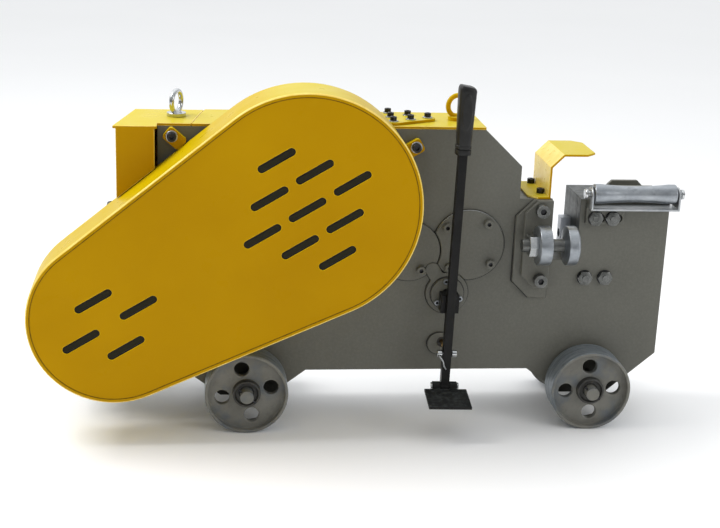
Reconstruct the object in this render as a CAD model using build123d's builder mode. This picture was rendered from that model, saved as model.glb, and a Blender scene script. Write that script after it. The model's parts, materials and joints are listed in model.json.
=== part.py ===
from build123d import *
from math import acos, atan2, cos, degrees, hypot, pi, radians, sin, sqrt, tan
import os

os.makedirs("parts", exist_ok=True)

# The machine stands on the floor at Z = 0. X runs towards the cutting end, Y to the back.

# Body: two side plates with a gear space between them
body_depth = 132.0
plate_thickness = 22.0
front_face_y = -80.0
plate_top_z = 552.0
plate_bottom_z = 98.0
tail_x = -362.0
tail_recess_x = -318.0
tail_step_z = 352.0
slope_start_x = 217.0
ledge_x = 286.5
slope_end_z = 486.5
ledge_z = 427.0
nose_x = 568.0
nose_chamfer_z = 128.0
back_nose_drop = 10.0
wall_thickness = 10.0
floor_thickness = 12.0
ledge_thickness = 6.0

# Cutting throat
throat_left_x = 346.0
throat_width = 54.0
throat_bottom_z = 312.0
throat_wall_thickness = 12.0
back_throat_relief = 14.0

# Wheels and axles
wheel_radius = 75.0
wheel_width = 53.0
wheel_gap = 8.0
wheel_rim = 5.5
wheel_hub_radius = 25.0
wheel_recess = 12.0
wheel_inner_recess = 29.0
wheel_hub_bore_radius = 20.5
wheel_hub_bore_depth = 6.0
wheel_hole_radius = 13.5
wheel_hole_circle = 45.0
rear_wheel_turn = 12.0
front_wheel_turn = 3.0
rear_axle_x = -204.0
wheelbase = 636.0
axle_radius = 12.0
axle_overhang = 15.0
wheel_bore_clearance = 0.08
lobe_bottom_z = 50.0
lobe_top_half = 110.0
lobe_bottom_half = 46.0
split_pin_radius = 2.0
split_pin_length = 40.0
split_pin_angle = -40.0

# Belt guard
guard_front_gap = 114.0
guard_rear_gap = 8.0
guard_sheet = 3.0
guard_big_radius = 200.0
guard_small_radius = 149.0
guard_rim_step = 6.5
guard_panel_recess = 1.0
guard_lip_radius = 100.0
slot_length = 72.0
slot_width = 14.0
slot_angle = 31.0
large_slot_column = (64.7, -19.1)
large_slot_row = (-10.8, -66.0)
small_slot_column = (76.0, -11.6)
small_slot_row = (-21.8, -73.0)
small_slot_shift = (-6.5, -4.5)
lug_width = 25.0
lug_corner = 6.0
lug_thickness = 4.0
right_lug_x = 91.0
right_lug_z = 521.5
left_lug_x = -337.0
left_lug_z = 536.0
guard_lug_aim_x = -150.0
guard_lug_aim_z = 380.0

# Shafts and gears
input_x = -107.0
input_z = 433.0
crank_x = 196.0
crank_z = 340.5
first_module = 4.0
first_pinion_teeth = 20
first_gear_teeth = 63
second_module = 6.0
second_pinion_teeth = 17
second_gear_teeth = 36
pressure_angle = 25.0
addendum_share = 0.8
dedendum_share = 1.1
backlash = 0.5
gear_width = 22.0
gear_gap = 2.0
input_shaft_radius = 22.5
middle_shaft_radius = 22.5
crank_journal_radius = 25.0
crank_gear_seat_radius = 30.0
bush_wall = 12.0
shaft_end_gap = 2.0
running_clearance = 0.05

# Crank eccentric and ram
crank_throw = 17.0
eccentric_radius = 42.0
eccentric_end_gap = 0.5
window_slack = 4.2
window_head_room = 2.5
yoke_wall = 10.0
ram_thickness = 26.0
ram_neck_bottom_z = 316.0
ram_neck_height = 56.0
ram_clearance = 0.3
ram_lane_gap = 10.0
guide_left_gap = 5.0
guide_wall = 24.0
keeper_thickness = 2.0

# Blades
blade_opening = 33.0
blade_thickness = 24.0
moving_blade_length = 24.0
fixed_blade_height = 64.0
fixed_blade_projection = 18.0
fixed_blade_seat_depth = 12.0
blade_bolt_radius = 8.0
shear_clearance = 0.3
seat_length = 70.0
seat_bottom_z = 250.0
tie_bolt_radius = 8.0
tie_bolt_z = 278.0
tie_bolt_spacing = 38.0
tie_bolt_inset = 18.0
tie_nut_size = 24.0
tie_nut_height = 9.0
tie_bolt_end = 3.0
blade_bolt_recess = 3.0

# Belt drive and motor
motor_x = -435.0
motor_z = 232.0
motor_radius = 78.0
fin_height = 10.0
fin_thickness = 4.0
fin_count = 28
motor_face_gap = 6.0
shield_length = 34.0
motor_frame_length = 165.0
fan_cover_length = 46.2
motor_shaft_radius = 12.0
motor_foot_height = 90.0
foot_spacing_x = 140.0
foot_spacing_y = 125.0
foot_bolt_radius = 5.0
foot_thickness = 12.0
foot_width = 30.0
foot_web = 16.0
foot_web_gap = 12.0
base_left_x = -540.0
base_edge = 15.0
rib_thickness = 8.0
rib_drop = 30.0
rib_reach = 160.0
stator_bore_radius = 60.0
rotor_radius = 54.0
rotor_end_gap = 22.0
fan_radius = 60.0
fan_disc = 4.0
vane_circle = 36.0
vane_length = 42.0
vane_height = 18.0
fan_gap = 6.0
fan_cover_radius = 84.0
fan_cover_sheet = 2.5
fan_slot_circle = 42.0
fan_slot_length = 42.0
fan_slot_width = 7.2
shield_radius = 81.0
box_half_x = 32.0
box_shift_x = 6.0
box_from_y = 22.0
box_to_y = 100.0
box_seat_z = 324.0
box_top_z = 364.0
gland_radius = 9.0
gland_length = 18.0
base_thickness = 12.0
flywheel_radius = 172.0
flywheel_rim = 34.0
flywheel_web = 18.0
flywheel_hub_radius = 44.0
flywheel_hole_radius = 26.0
flywheel_hole_circle = 90.0
motor_pulley_radius = 58.0
pulley_width = 54.0
pulley_rear_gap = 27.0
groove_spacing = 20.0
groove_top_width = 16.0
groove_depth = 13.0
groove_angle = 38.0
belt_height = 10.0
belt_clearance = 0.5

# Top cover, lid, hood and lifting eyes
cover_thickness = 5.0
hood_sheet = 3.0
hood_front_gap = 28.0
hood_left_x = -432.0
hood_lip = 5.0
hood_slant = 27.0
hood_front_short = 4.0
hood_seam_x = -304.0
hood_back_inset = 6.0
hood_bottom_z = 390.0
hood_guard_gap = 1.5
lid_x = 74.0
lid_y = -25.0
lid_circle = 45.0
lid_corner = 14.0
lid_thickness = 5.0
lid_hole_radius = 15.0
lid_head_radius = 6.0
lid_head_height = 7.0
lid_washer_radius = 9.0
lid_washer_height = 2.0
cover_seam = 1.0
eye_ring_radius = 19.0
eye_wire_radius = 4.5
eye_base_radius = 17.0
eye_base_height = 7.0
eye_stem_radius = 9.0
left_eye_x = -330.0
right_eye_x = 175.0
eye_y = -15.0
left_eye_turn = 65.0
right_eye_turn = 15.0

# Covers and screws on the front plate
shaft_cover_radius = 56.0
shaft_lobe_x = 88.0
shaft_lobe_z = 328.5
crank_cover_radius = 66.0
crank_screw_inset = 12.5
crank_screw_start = 50.5
shaft_screw_inset = 15.0
flange_screw_circle = 24.5
flange_head_radius = 5.0
flange_head_height = 5.0
cover_gap = 2.0
flange_gap = 0.5
cover_plate = 6.0
socket_head_radius = 8.0
socket_head_height = 10.0
socket_share = 0.5
shank_share = 0.55
shank_clearance = 0.3
shank_length = 14.0
socket_depth = 5.0
back_cover_radius = 52.0
back_head_radius = 6.0
back_head_height = 5.0

# Clutch lever, flange and pedal
lever_x = 161.0
lever_pivot_z = 249.5
lever_gap = 50.0
lever_bar = 15.5
lever_lean = 1.2
pedal_pivot_z = 84.0
lever_top_z = 643.0
grip_length = 124.0
grip_low_width = 25.5
grip_top_width = 31.5
grip_edge = 8.0
grip_top_drop = 3.0
grip_top_trim = 2.0
collar_width = 27.5
collar_height = 9.0
ring_height = 6.0
ring_gap = 2.0
flange_radius = 39.0
flange_disc_radius = 30.0
flange_thickness = 6.0
flange_lobe_x = 132.4
flange_lobe_z = 293.9
flange_lobe_radius = 13.0
hub_width = 33.0
hub_height = 34.0
hub_drop = 26.0
hub_depth = 27.0
hub_rear_gap = 19.0
shift_shaft_radius = 10.0
clutch_arm_length = 52.0
clutch_arm_width = 24.0
clutch_arm_thickness = 6.0
detent_x = 151.0
detent_z = 151.0
detent_radius = 21.0
plunger_x = 157.5
plunger_z = 154.0
plunger_radius = 4.0
plunger_reach = 24.0
plunger_recess_radius = 10.0
plunger_recess_depth = 4.0
cross_bolt_z = 148.2
cross_bolt_radius = 4.0
cross_bolt_length = 36.0
cross_head_radius = 6.5
cross_head_length = 9.0
grip_wall = 12.0
pedal_width = 78.0
pedal_depth = 63.0
pedal_thickness = 5.0
pedal_drop_angle = 9.0
pedal_pin_radius = 5.0
pedal_tube_radius = 9.0
pedal_tube_length = 16.0
pedal_lug_thickness = 14.0
pedal_lug_gap = 0.5
pedal_lug_reach = 22.0
pedal_back_gap = 13.0
pedal_pin_head_radius = 7.0
pedal_pin_head_length = 3.5
pedal_pin_clearance = 0.08

# Slide cover plates and the bar stop
slide_cover_left_x = 280.5
slide_cover_bottom_z = 241.0
slide_cover_corner = 32.0
slide_plate_left_x = 295.0
slide_plate_bottom_z = 262.0
slide_plate_corner = 24.0
slide_plate_thickness = 8.0
slide_bolt_top_x = 324.0
slide_bolt_drop = 17.0
slide_bolt_bottom_x = 329.0
slide_bolt_bottom_z = 279.0
large_head_radius = 12.0
large_head_height = 16.0
stop_z = 354.0
stop_gap = 52.0
stop_disc_radius = 35.5
stop_screw_radius = 12.0
stop_nut_size = 36.0
stop_nut_height = 16.0
stop_boss_x = 311.0
stop_boss_length = 22.0
stop_neck_length = 26.0
stop_head_length = 20.0
stop_flare_length = 4.0
stop_tail_length = 12.0
stop_foot_height = 36.0
stop_clearance = 0.08
stop_head_edge = 3.0

# Throat guard bracket
bracket_sheet = 4.0
bracket_flange_left_x = 302.5
bracket_wall_x = 342.0
bracket_wall_top_z = 485.0
bracket_facet = 21.0
bracket_reach_x = 423.0
bracket_overhang = 4.0
bracket_back_inset = 12.0
bracket_corner = 18.0
bracket_base_corner = 16.0
bracket_head_radius = 7.0
bracket_head_height = 9.0
bracket_bolt_inset = 12.0
bracket_bolt_front = 32.0
bracket_bolt_pitch = 76.0

# Support roller and rear bar rest
roller_x = 492.0
roller_length = 153.0
roller_radius = 18.0
roller_waist = 3.5
roller_edge = 1.5
roller_land = 14.0
roller_rise = 15.0
roller_gap = 20.0
roller_axle_radius = 6.0
roller_bore_clearance = 0.08
roller_axle_length = 184.0
axle_head_radius = 9.0
axle_head_length = 5.0
roller_base_drop = 9.0
roller_base_thickness = 4.0
roller_leg_thickness = 8.0
roller_slot_length = 30.0
roller_slot_shift = 3.0
ear_thickness = 4.0
ear_gap = 2.0
ear_rise = 28.0
ear_half_width = 17.0
bracket_leg_drop = 45.0
bracket_leg_length = 72.0
roller_bolt_drop = 34.0
roller_bolt_spacing = 32.0
roller_bolt_inset = 18.0
rest_length = 78.0
rest_height = 54.0
rest_rise = 4.0
rest_thickness = 8.0
rest_inset = 8.0
rest_corner = 14.0
rest_bolt_half = 22.0
rest_bolt_drop = 25.0
small_hex_size = 19.0
small_hex_height = 8.0
small_hex_radius = 6.0

# Values worked out from the sizes above
back_face_y = front_face_y + body_depth
front_inner_y = front_face_y + plate_thickness
back_inner_y = back_face_y - plate_thickness
throat_right_x = throat_left_x + throat_width
front_axle_x = rear_axle_x + wheelbase
first_distance = first_module * (first_pinion_teeth + first_gear_teeth) / 2
second_distance = second_module * (second_pinion_teeth + second_gear_teeth) / 2
shaft_span = hypot(crank_x - input_x, crank_z - input_z)
along = (first_distance**2 - second_distance**2 + shaft_span**2) / (2 * shaft_span)
aside = sqrt(first_distance**2 - along**2)
span_x = (crank_x - input_x) / shaft_span
span_z = (crank_z - input_z) / shaft_span
middle_x = input_x + along * span_x + aside * span_z
middle_z = input_z + along * span_z - aside * span_x
first_gear_y = back_inner_y - gear_gap - gear_width
second_gear_y = first_gear_y - gear_gap - gear_width
ram_y = front_inner_y + ram_lane_gap
window_half_width = eccentric_radius + window_slack
window_half_height = eccentric_radius + crank_throw + window_head_room
eccentric_x = crank_x - crank_throw
fixed_blade_x = throat_right_x - fixed_blade_projection
moving_blade_x = fixed_blade_x - blade_opening
fixed_blade_y = ram_y + ram_thickness + shear_clearance
pulley_y = front_face_y - pulley_rear_gap - pulley_width
lever_y = front_face_y - lever_gap
stop_y = front_face_y - stop_gap
roller_y = front_face_y - roller_gap
roller_z = ledge_z + roller_rise
roller_base_top_z = ledge_z - roller_base_drop
ear_top_z = ledge_z + ear_rise
bracket_leg_bottom_z = ledge_z - bracket_leg_drop
roller_bolt_z = ledge_z - roller_bolt_drop
rest_bolt_z = ledge_z - rest_bolt_drop
cover_top_z = plate_top_z + cover_thickness
guard_front_y = front_face_y - guard_front_gap
guard_rear_y = front_face_y - guard_rear_gap
motor_face_y = front_face_y + motor_face_gap


# Planes: a side plane looks along Y with X to the right and Z up; an end plane looks along X.
def side_plane(y):
    return Plane(origin=(0, y, 0), x_dir=(1, 0, 0), z_dir=(0, -1, 0))


def end_plane(x):
    return Plane(origin=(x, 0, 0), x_dir=(0, 1, 0), z_dir=(1, 0, 0))


def save(piece, name):
    piece.part.label = name
    export_step(piece.part, f"parts/{name}.step")


# The lever's pieces are drawn upright and stand a little over to the right at rest
def save_leaned(piece, name):
    leaned = piece.part.rotate(Axis((lever_x, 0, lever_pivot_z), (0, 1, 0)), lever_lean)
    leaned.label = name
    export_step(leaned, f"parts/{name}.step")


# Building steps used inside a part: bars and blocks along Y, X and Z
def bar_y(x, z, radius, y_from, y_to, mode=Mode.ADD):
    with BuildSketch(side_plane(y_from)) as profile:
        with Locations((x, z)):
            Circle(radius)
    extrude(profile.sketch, amount=y_from - y_to, mode=mode)


def bar_x(y, z, radius, x_from, x_to, mode=Mode.ADD):
    with BuildSketch(end_plane(x_from)) as profile:
        with Locations((y, z)):
            Circle(radius)
    extrude(profile.sketch, amount=x_to - x_from, mode=mode)


def bar_z(x, y, radius, z_from, z_to, mode=Mode.ADD):
    with BuildSketch(Plane.XY.offset(z_from)) as profile:
        with Locations((x, y)):
            Circle(radius)
    extrude(profile.sketch, amount=z_to - z_from, mode=mode)


def block(x_from, x_to, y_from, y_to, z_from, z_to, mode=Mode.ADD):
    with BuildSketch(Plane.XY.offset(z_from)) as profile:
        with Locations(((x_from + x_to) / 2, (y_from + y_to) / 2)):
            Rectangle(x_to - x_from, y_to - y_from)
    extrude(profile.sketch, amount=z_to - z_from, mode=mode)


def outline_y(points, y_from, y_to, mode=Mode.ADD):
    with BuildSketch(side_plane(y_from)) as profile:
        Polygon(*points, align=None)
    extrude(profile.sketch, amount=y_from - y_to, mode=mode)


# Two round ends joined by straight sides
def hull_y(first, first_radius, second, second_radius, y_from, y_to, mode=Mode.ADD):
    with BuildSketch(side_plane(y_from)) as profile:
        with Locations(first):
            Circle(first_radius)
        with Locations(second):
            Circle(second_radius)
        make_hull()
    extrude(profile.sketch, amount=y_from - y_to, mode=mode)


def drill_y(x, z, head_radius, y_from, y_to):
    bar_y(x, z, head_radius * shank_share + shank_clearance, y_from, y_to, mode=Mode.SUBTRACT)


def socket_bolt_y(x, z, face_y, radius, height, length):
    bar_y(x, z, radius, face_y - height, face_y)
    bar_y(x, z, radius * shank_share, face_y, face_y + length)
    with BuildSketch(side_plane(face_y - height)) as profile:
        with Locations((x, z)):
            RegularPolygon(radius * socket_share, 6)
    extrude(profile.sketch, amount=-socket_depth, mode=Mode.SUBTRACT)


def socket_bolt_z(x, y, face_z, radius, height, length):
    bar_z(x, y, radius, face_z, face_z + height)
    bar_z(x, y, radius * shank_share, face_z - length, face_z)
    with BuildSketch(Plane.XY.offset(face_z + height)) as profile:
        with Locations((x, y)):
            RegularPolygon(radius * socket_share, 6)
    extrude(profile.sketch, amount=-socket_depth, mode=Mode.SUBTRACT)


def hex_nut_y(x, z, face_y, across, height):
    with BuildSketch(side_plane(face_y)) as profile:
        with Locations((x, z)):
            RegularPolygon(across / 2, 6, major_radius=False)
    extrude(profile.sketch, amount=height)


def on_circle(x, z, radius, angle):
    return x + radius * cos(radians(angle)), z + radius * sin(radians(angle))


# Gear outline: involute flanks with a small backlash, first tooth centred on the angle given
def gear_points(teeth, module, x, z, first_angle):
    pitch_radius = module * teeth / 2
    base_radius = pitch_radius * cos(radians(pressure_angle))
    tip_radius = pitch_radius + addendum_share * module
    root_radius = pitch_radius - dedendum_share * module
    start_radius = max(base_radius, root_radius)
    pitch_roll = tan(radians(pressure_angle)) - radians(pressure_angle)
    half_tooth = pi / (2 * teeth) - backlash / (2 * pitch_radius)
    flank = []
    for step in range(4):
        radius = start_radius + (tip_radius - start_radius) * step / 3
        roll = acos(min(1.0, base_radius / radius))
        flank.append((radius, half_tooth + pitch_roll - (tan(roll) - roll)))
    flank.insert(0, (root_radius, flank[0][1]))
    points = []
    for tooth in range(teeth):
        centre = radians(first_angle) + 2 * pi * tooth / teeth
        for radius, half in flank:
            points.append((x + radius * cos(centre - half), z + radius * sin(centre - half)))
        for radius, half in reversed(flank):
            points.append((x + radius * cos(centre + half), z + radius * sin(centre + half)))
    return points


# Fastener places on the front plate
crank_screw_circle = crank_cover_radius - crank_screw_inset
shaft_screw_circle = shaft_cover_radius - shaft_screw_inset
crank_screws = [
    on_circle(crank_x, crank_z, crank_screw_circle, crank_screw_start + 90 * n) for n in range(4)
]
shaft_screws = [on_circle(middle_x, middle_z, shaft_screw_circle, angle) for angle in (110, 190, 250)]
shaft_screws += [on_circle(shaft_lobe_x, shaft_lobe_z, shaft_screw_circle, angle) for angle in (-57, 75)]
flange_screws = [on_circle(lever_x, lever_pivot_z, flange_screw_circle, 100 + 120 * n) for n in range(3)]
slide_bolts = [(slide_bolt_top_x, ledge_z - slide_bolt_drop), (slide_bolt_bottom_x, slide_bolt_bottom_z)]
guard_bolts = [(right_lug_x, right_lug_z), (left_lug_x, left_lug_z)]
tie_bolts = [(throat_right_x + tie_bolt_inset + tie_bolt_spacing * n, tie_bolt_z) for n in range(2)]
roller_left_x = roller_x - roller_length / 2
leg_left_x = roller_left_x - ear_gap - ear_thickness
roller_bolts = [(leg_left_x + roller_bolt_inset + roller_bolt_spacing * n, roller_bolt_z) for n in range(2)]
shafts = [
    (input_x, input_z, input_shaft_radius),
    (middle_x, middle_z, middle_shaft_radius),
    (crank_x, crank_z, crank_journal_radius),
]
axles = [("rear", rear_axle_x), ("front", front_axle_x)]
bracket_front_y = front_face_y - bracket_overhang
bracket_back_y = back_face_y - bracket_back_inset
bracket_bolt_x = bracket_wall_x - bracket_bolt_inset
bracket_bolt_y = bracket_front_y + bracket_bolt_front
bracket_bolts = [(bracket_bolt_x, bracket_bolt_y + bracket_bolt_pitch * n) for n in range(2)]
rest_x = nose_x - rest_inset - rest_length / 2
rest_bolts = [(rest_x + side * rest_bolt_half, rest_bolt_z) for side in (-1, 1)]


# Side plates: one outline, with the throat wider and the nose lower in the back plate
def plate_outline(throat_end_x, nose_top_z):
    chamfer_run = front_axle_x + lobe_bottom_half
    return [
        (tail_x, plate_top_z),
        (tail_x, tail_step_z),
        (tail_recess_x, tail_step_z),
        (tail_recess_x, plate_bottom_z),
        (rear_axle_x - lobe_top_half, plate_bottom_z),
        (rear_axle_x - lobe_bottom_half, lobe_bottom_z),
        (rear_axle_x + lobe_bottom_half, lobe_bottom_z),
        (rear_axle_x + lobe_top_half, plate_bottom_z),
        (front_axle_x - lobe_top_half, plate_bottom_z),
        (front_axle_x - lobe_bottom_half, lobe_bottom_z),
        (chamfer_run, lobe_bottom_z),
        (nose_x, nose_chamfer_z),
        (nose_x, nose_top_z),
        (throat_end_x, nose_top_z),
        (throat_end_x, throat_bottom_z),
        (throat_left_x, throat_bottom_z),
        (throat_left_x, ledge_z),
        (ledge_x, ledge_z),
        (ledge_x, slope_end_z),
        (slope_start_x, plate_top_z),
    ]


def shared_plate_holes(y_from, y_to):
    for axle_name, axle_x in axles:
        bar_y(axle_x, wheel_radius, axle_radius, y_from, y_to, mode=Mode.SUBTRACT)
    for shaft_x, shaft_z, shaft_radius in shafts:
        bore = shaft_radius + running_clearance + bush_wall
        bar_y(shaft_x, shaft_z, bore, y_from, y_to, mode=Mode.SUBTRACT)
    for bolt_x, bolt_z in tie_bolts:
        bar_y(bolt_x, bolt_z, tie_bolt_radius + shank_clearance, y_from, y_to, mode=Mode.SUBTRACT)


with BuildPart() as front_side_plate:
    outline_y(plate_outline(throat_right_x, ledge_z), front_face_y, front_inner_y)
    shared_plate_holes(front_face_y, front_inner_y)
    for screw_x, screw_z in crank_screws + shaft_screws + guard_bolts:
        drill_y(screw_x, screw_z, socket_head_radius, front_face_y, front_face_y + shank_length)
    for screw_x, screw_z in flange_screws:
        drill_y(screw_x, screw_z, flange_head_radius, front_face_y, front_face_y + shank_length)
    for bolt_x, bolt_z in slide_bolts + roller_bolts:
        drill_y(bolt_x, bolt_z, large_head_radius, front_face_y, front_face_y + shank_length)
    shift_bore = shift_shaft_radius + running_clearance
    bar_y(lever_x, lever_pivot_z, shift_bore, front_face_y, front_inner_y, mode=Mode.SUBTRACT)
save(front_side_plate, "front_side_plate")

with BuildPart() as back_side_plate:
    back_outline = plate_outline(throat_right_x + back_throat_relief, ledge_z - back_nose_drop)
    outline_y(back_outline, back_inner_y, back_face_y)
    shared_plate_holes(back_inner_y, back_face_y)
    for bolt_x, bolt_z in rest_bolts:
        bar_y(bolt_x, bolt_z, small_hex_radius, back_face_y - shank_length, back_face_y, mode=Mode.SUBTRACT)
save(back_side_plate, "back_side_plate")

# Walls between the side plates
chamfer_slope = (nose_x - front_axle_x - lobe_bottom_half) / (nose_chamfer_z - lobe_bottom_z)
nose_foot_x = nose_x - (nose_chamfer_z - plate_bottom_z) * chamfer_slope
nose_foot_inner_x = nose_foot_x - wall_thickness * hypot(1, chamfer_slope)

with BuildPart() as rear_wall_and_floor:
    outline_y(
        [
            (tail_x, plate_top_z),
            (tail_x, tail_step_z),
            (tail_recess_x, tail_step_z),
            (tail_recess_x, plate_bottom_z),
            (nose_foot_inner_x, plate_bottom_z),
            (nose_foot_inner_x, plate_bottom_z + floor_thickness),
            (tail_recess_x + wall_thickness, plate_bottom_z + floor_thickness),
            (tail_recess_x + wall_thickness, tail_step_z + wall_thickness),
            (tail_x + wall_thickness, tail_step_z + wall_thickness),
            (tail_x + wall_thickness, plate_top_z),
        ],
        front_inner_y,
        back_inner_y,
    )
save(rear_wall_and_floor, "rear_wall_and_floor")

with BuildPart() as nose_wall:
    outline_y(
        [
            (nose_x, ledge_z),
            (nose_x, nose_chamfer_z),
            (nose_foot_x, plate_bottom_z),
            (nose_foot_inner_x, plate_bottom_z),
            (nose_x - wall_thickness, nose_chamfer_z + wall_thickness / 2),
            (nose_x - wall_thickness, ledge_z - floor_thickness),
            (throat_right_x + seat_length, ledge_z - floor_thickness),
            (throat_right_x + seat_length, ledge_z),
        ],
        front_inner_y,
        back_inner_y,
    )
save(nose_wall, "nose_wall")

# Cover over the slope and the ledge, between the plates
slope_run = hypot(ledge_x - slope_start_x, plate_top_z - slope_end_z)
slope_drop = ledge_thickness * (ledge_x - slope_start_x) / slope_run
slope_back = ledge_thickness * (plate_top_z - slope_end_z) / slope_run

with BuildPart() as ledge_cover:
    outline_y(
        [
            (slope_start_x, plate_top_z),
            (slope_start_x - slope_back, plate_top_z - slope_drop),
            (ledge_x - ledge_thickness, slope_end_z - slope_drop / 2),
            (ledge_x - ledge_thickness, ledge_z - ledge_thickness),
            (throat_left_x - throat_wall_thickness, ledge_z - ledge_thickness),
            (throat_left_x - throat_wall_thickness, ledge_z),
            (ledge_x, ledge_z),
            (ledge_x, slope_end_z),
        ],
        front_inner_y,
        back_inner_y,
    )
    for bolt_x, bolt_y in bracket_bolts:
        bar_z(
            bolt_x,
            bolt_y,
            bracket_head_radius * shank_share + shank_clearance,
            ledge_z - ledge_thickness,
            ledge_z,
            mode=Mode.SUBTRACT,
        )
save(ledge_cover, "ledge_cover")

# Throat wall with the ram's mouth, throat floor, seat block and blades
with BuildPart() as throat_wall:
    block(
        throat_left_x - throat_wall_thickness,
        throat_left_x,
        front_inner_y,
        back_inner_y,
        seat_bottom_z,
        ledge_z,
    )
    block(
        throat_left_x - throat_wall_thickness,
        throat_left_x,
        ram_y - ram_clearance,
        ram_y + ram_thickness + ram_clearance,
        ram_neck_bottom_z - ram_clearance,
        ram_neck_bottom_z + ram_neck_height + ram_clearance,
        mode=Mode.SUBTRACT,
    )
    block(
        throat_left_x,
        throat_right_x,
        front_inner_y,
        back_inner_y,
        throat_bottom_z - floor_thickness,
        throat_bottom_z,
    )
save(throat_wall, "throat_wall")

fixed_blade_low_z = ram_neck_bottom_z + (ram_neck_height - fixed_blade_height) / 2
fixed_blade_middle_y = fixed_blade_y + blade_thickness / 2
blade_middle_z = ram_neck_bottom_z + ram_neck_height / 2

with BuildPart() as blade_seat:
    block(
        throat_right_x,
        throat_right_x + seat_length,
        front_inner_y,
        back_inner_y,
        seat_bottom_z,
        ledge_z,
    )
    block(
        throat_right_x,
        throat_right_x + fixed_blade_seat_depth,
        fixed_blade_y,
        fixed_blade_y + blade_thickness,
        fixed_blade_low_z,
        fixed_blade_low_z + fixed_blade_height,
        mode=Mode.SUBTRACT,
    )
    bar_x(
        fixed_blade_middle_y,
        blade_middle_z,
        blade_bolt_radius,
        throat_right_x,
        throat_right_x + fixed_blade_seat_depth + shank_length,
        mode=Mode.SUBTRACT,
    )
    for bolt_x, bolt_z in tie_bolts:
        tie_hole = tie_bolt_radius + shank_clearance
        bar_y(bolt_x, bolt_z, tie_hole, front_inner_y, back_inner_y, mode=Mode.SUBTRACT)
save(blade_seat, "blade_seat")

with BuildPart() as fixed_blade:
    block(
        fixed_blade_x,
        throat_right_x + fixed_blade_seat_depth,
        fixed_blade_y,
        fixed_blade_y + blade_thickness,
        fixed_blade_low_z,
        fixed_blade_low_z + fixed_blade_height,
    )
    bar_x(
        fixed_blade_middle_y,
        blade_middle_z,
        blade_bolt_radius,
        fixed_blade_x,
        throat_right_x + fixed_blade_seat_depth,
        mode=Mode.SUBTRACT,
    )
save(fixed_blade, "fixed_blade")

# Axles, wheels and split pins
wheel_front_y = front_face_y - wheel_gap - wheel_width
wheel_back_y = back_face_y + wheel_gap
axle_front_y = wheel_front_y - axle_overhang
axle_back_y = wheel_back_y + wheel_width + axle_overhang
pin_places = [
    (axle_x, pin_y)
    for axle_name, axle_x in axles
    for pin_y in (wheel_front_y - axle_overhang / 2, wheel_back_y + wheel_width + axle_overhang / 2)
]


def split_pin(x, y, mode=Mode.ADD):
    pin_dir = (cos(radians(split_pin_angle)), 0, sin(radians(split_pin_angle)))
    with BuildSketch(Plane(origin=(x, y, wheel_radius), x_dir=(0, 1, 0), z_dir=pin_dir)) as profile:
        Circle(split_pin_radius)
    extrude(profile.sketch, amount=split_pin_length / 2, both=True, mode=mode)


with BuildPart() as wheel_axles:
    for axle_name, axle_x in axles:
        bar_y(axle_x, wheel_radius, axle_radius, axle_front_y, axle_back_y)
    for pin_x, pin_y in pin_places:
        split_pin(pin_x, pin_y, mode=Mode.SUBTRACT)
save(wheel_axles, "wheel_axles")

with BuildPart() as split_pins:
    for pin_x, pin_y in pin_places:
        split_pin(pin_x, pin_y)
save(split_pins, "split_pins")


def wheel_body(axle_x, outer_y, inner_y, turn):
    inner = wheel_radius - wheel_rim
    outward = -1 if outer_y < inner_y else 1
    y_from, y_to = sorted((outer_y, inner_y))
    web_outer_y = outer_y - outward * wheel_recess
    web_inner_y = inner_y + outward * wheel_inner_recess
    hub_bore_y = outer_y - outward * wheel_hub_bore_depth
    bar_y(axle_x, wheel_radius, wheel_radius, y_from, y_to)
    bar_y(axle_x, wheel_radius, inner, *sorted((outer_y, web_outer_y)), mode=Mode.SUBTRACT)
    bar_y(axle_x, wheel_radius, inner, *sorted((inner_y, web_inner_y)), mode=Mode.SUBTRACT)
    bar_y(axle_x, wheel_radius, wheel_hub_radius, y_from, y_to)
    bar_y(axle_x, wheel_radius, wheel_hub_bore_radius, *sorted((outer_y, hub_bore_y)), mode=Mode.SUBTRACT)
    for spoke in range(4):
        hole_x, hole_z = on_circle(axle_x, wheel_radius, wheel_hole_circle, turn + 90 * spoke)
        bar_y(hole_x, hole_z, wheel_hole_radius, y_from, y_to, mode=Mode.SUBTRACT)
    bar_y(axle_x, wheel_radius, axle_radius + wheel_bore_clearance, y_from, y_to, mode=Mode.SUBTRACT)


wheel_sides = (
    ("left", wheel_front_y, wheel_front_y + wheel_width),
    ("right", wheel_back_y + wheel_width, wheel_back_y),
)
for (axle_name, axle_x), turn in zip(axles, (rear_wheel_turn, front_wheel_turn)):
    for side_name, outer_y, inner_y in wheel_sides:
        with BuildPart() as wheel:
            wheel_body(axle_x, outer_y, inner_y, turn)
        save(wheel, f"{axle_name}_{side_name}_wheel")


# Belt guard: two round ends joined by straight sides, open at the back
def belt_hull(big_radius, small_radius, y_from, y_to, mode=Mode.ADD):
    hull_y((input_x, input_z), big_radius, (motor_x, motor_z), small_radius, y_from, y_to, mode)


def slot_places(centre, column, row, columns, rows):
    for i in range(columns):
        for j in range(rows):
            across = i - (columns - 1) / 2
            down = j - (rows - 1) / 2
            yield (
                centre[0] + column[0] * across + row[0] * down,
                centre[1] + column[1] * across + row[1] * down,
            )


guard_slots = list(slot_places((input_x, input_z), large_slot_column, large_slot_row, 3, 3))
small_slot_centre = (motor_x + small_slot_shift[0], motor_z + small_slot_shift[1])
guard_slots += list(slot_places(small_slot_centre, small_slot_column, small_slot_row, 2, 2))

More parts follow.
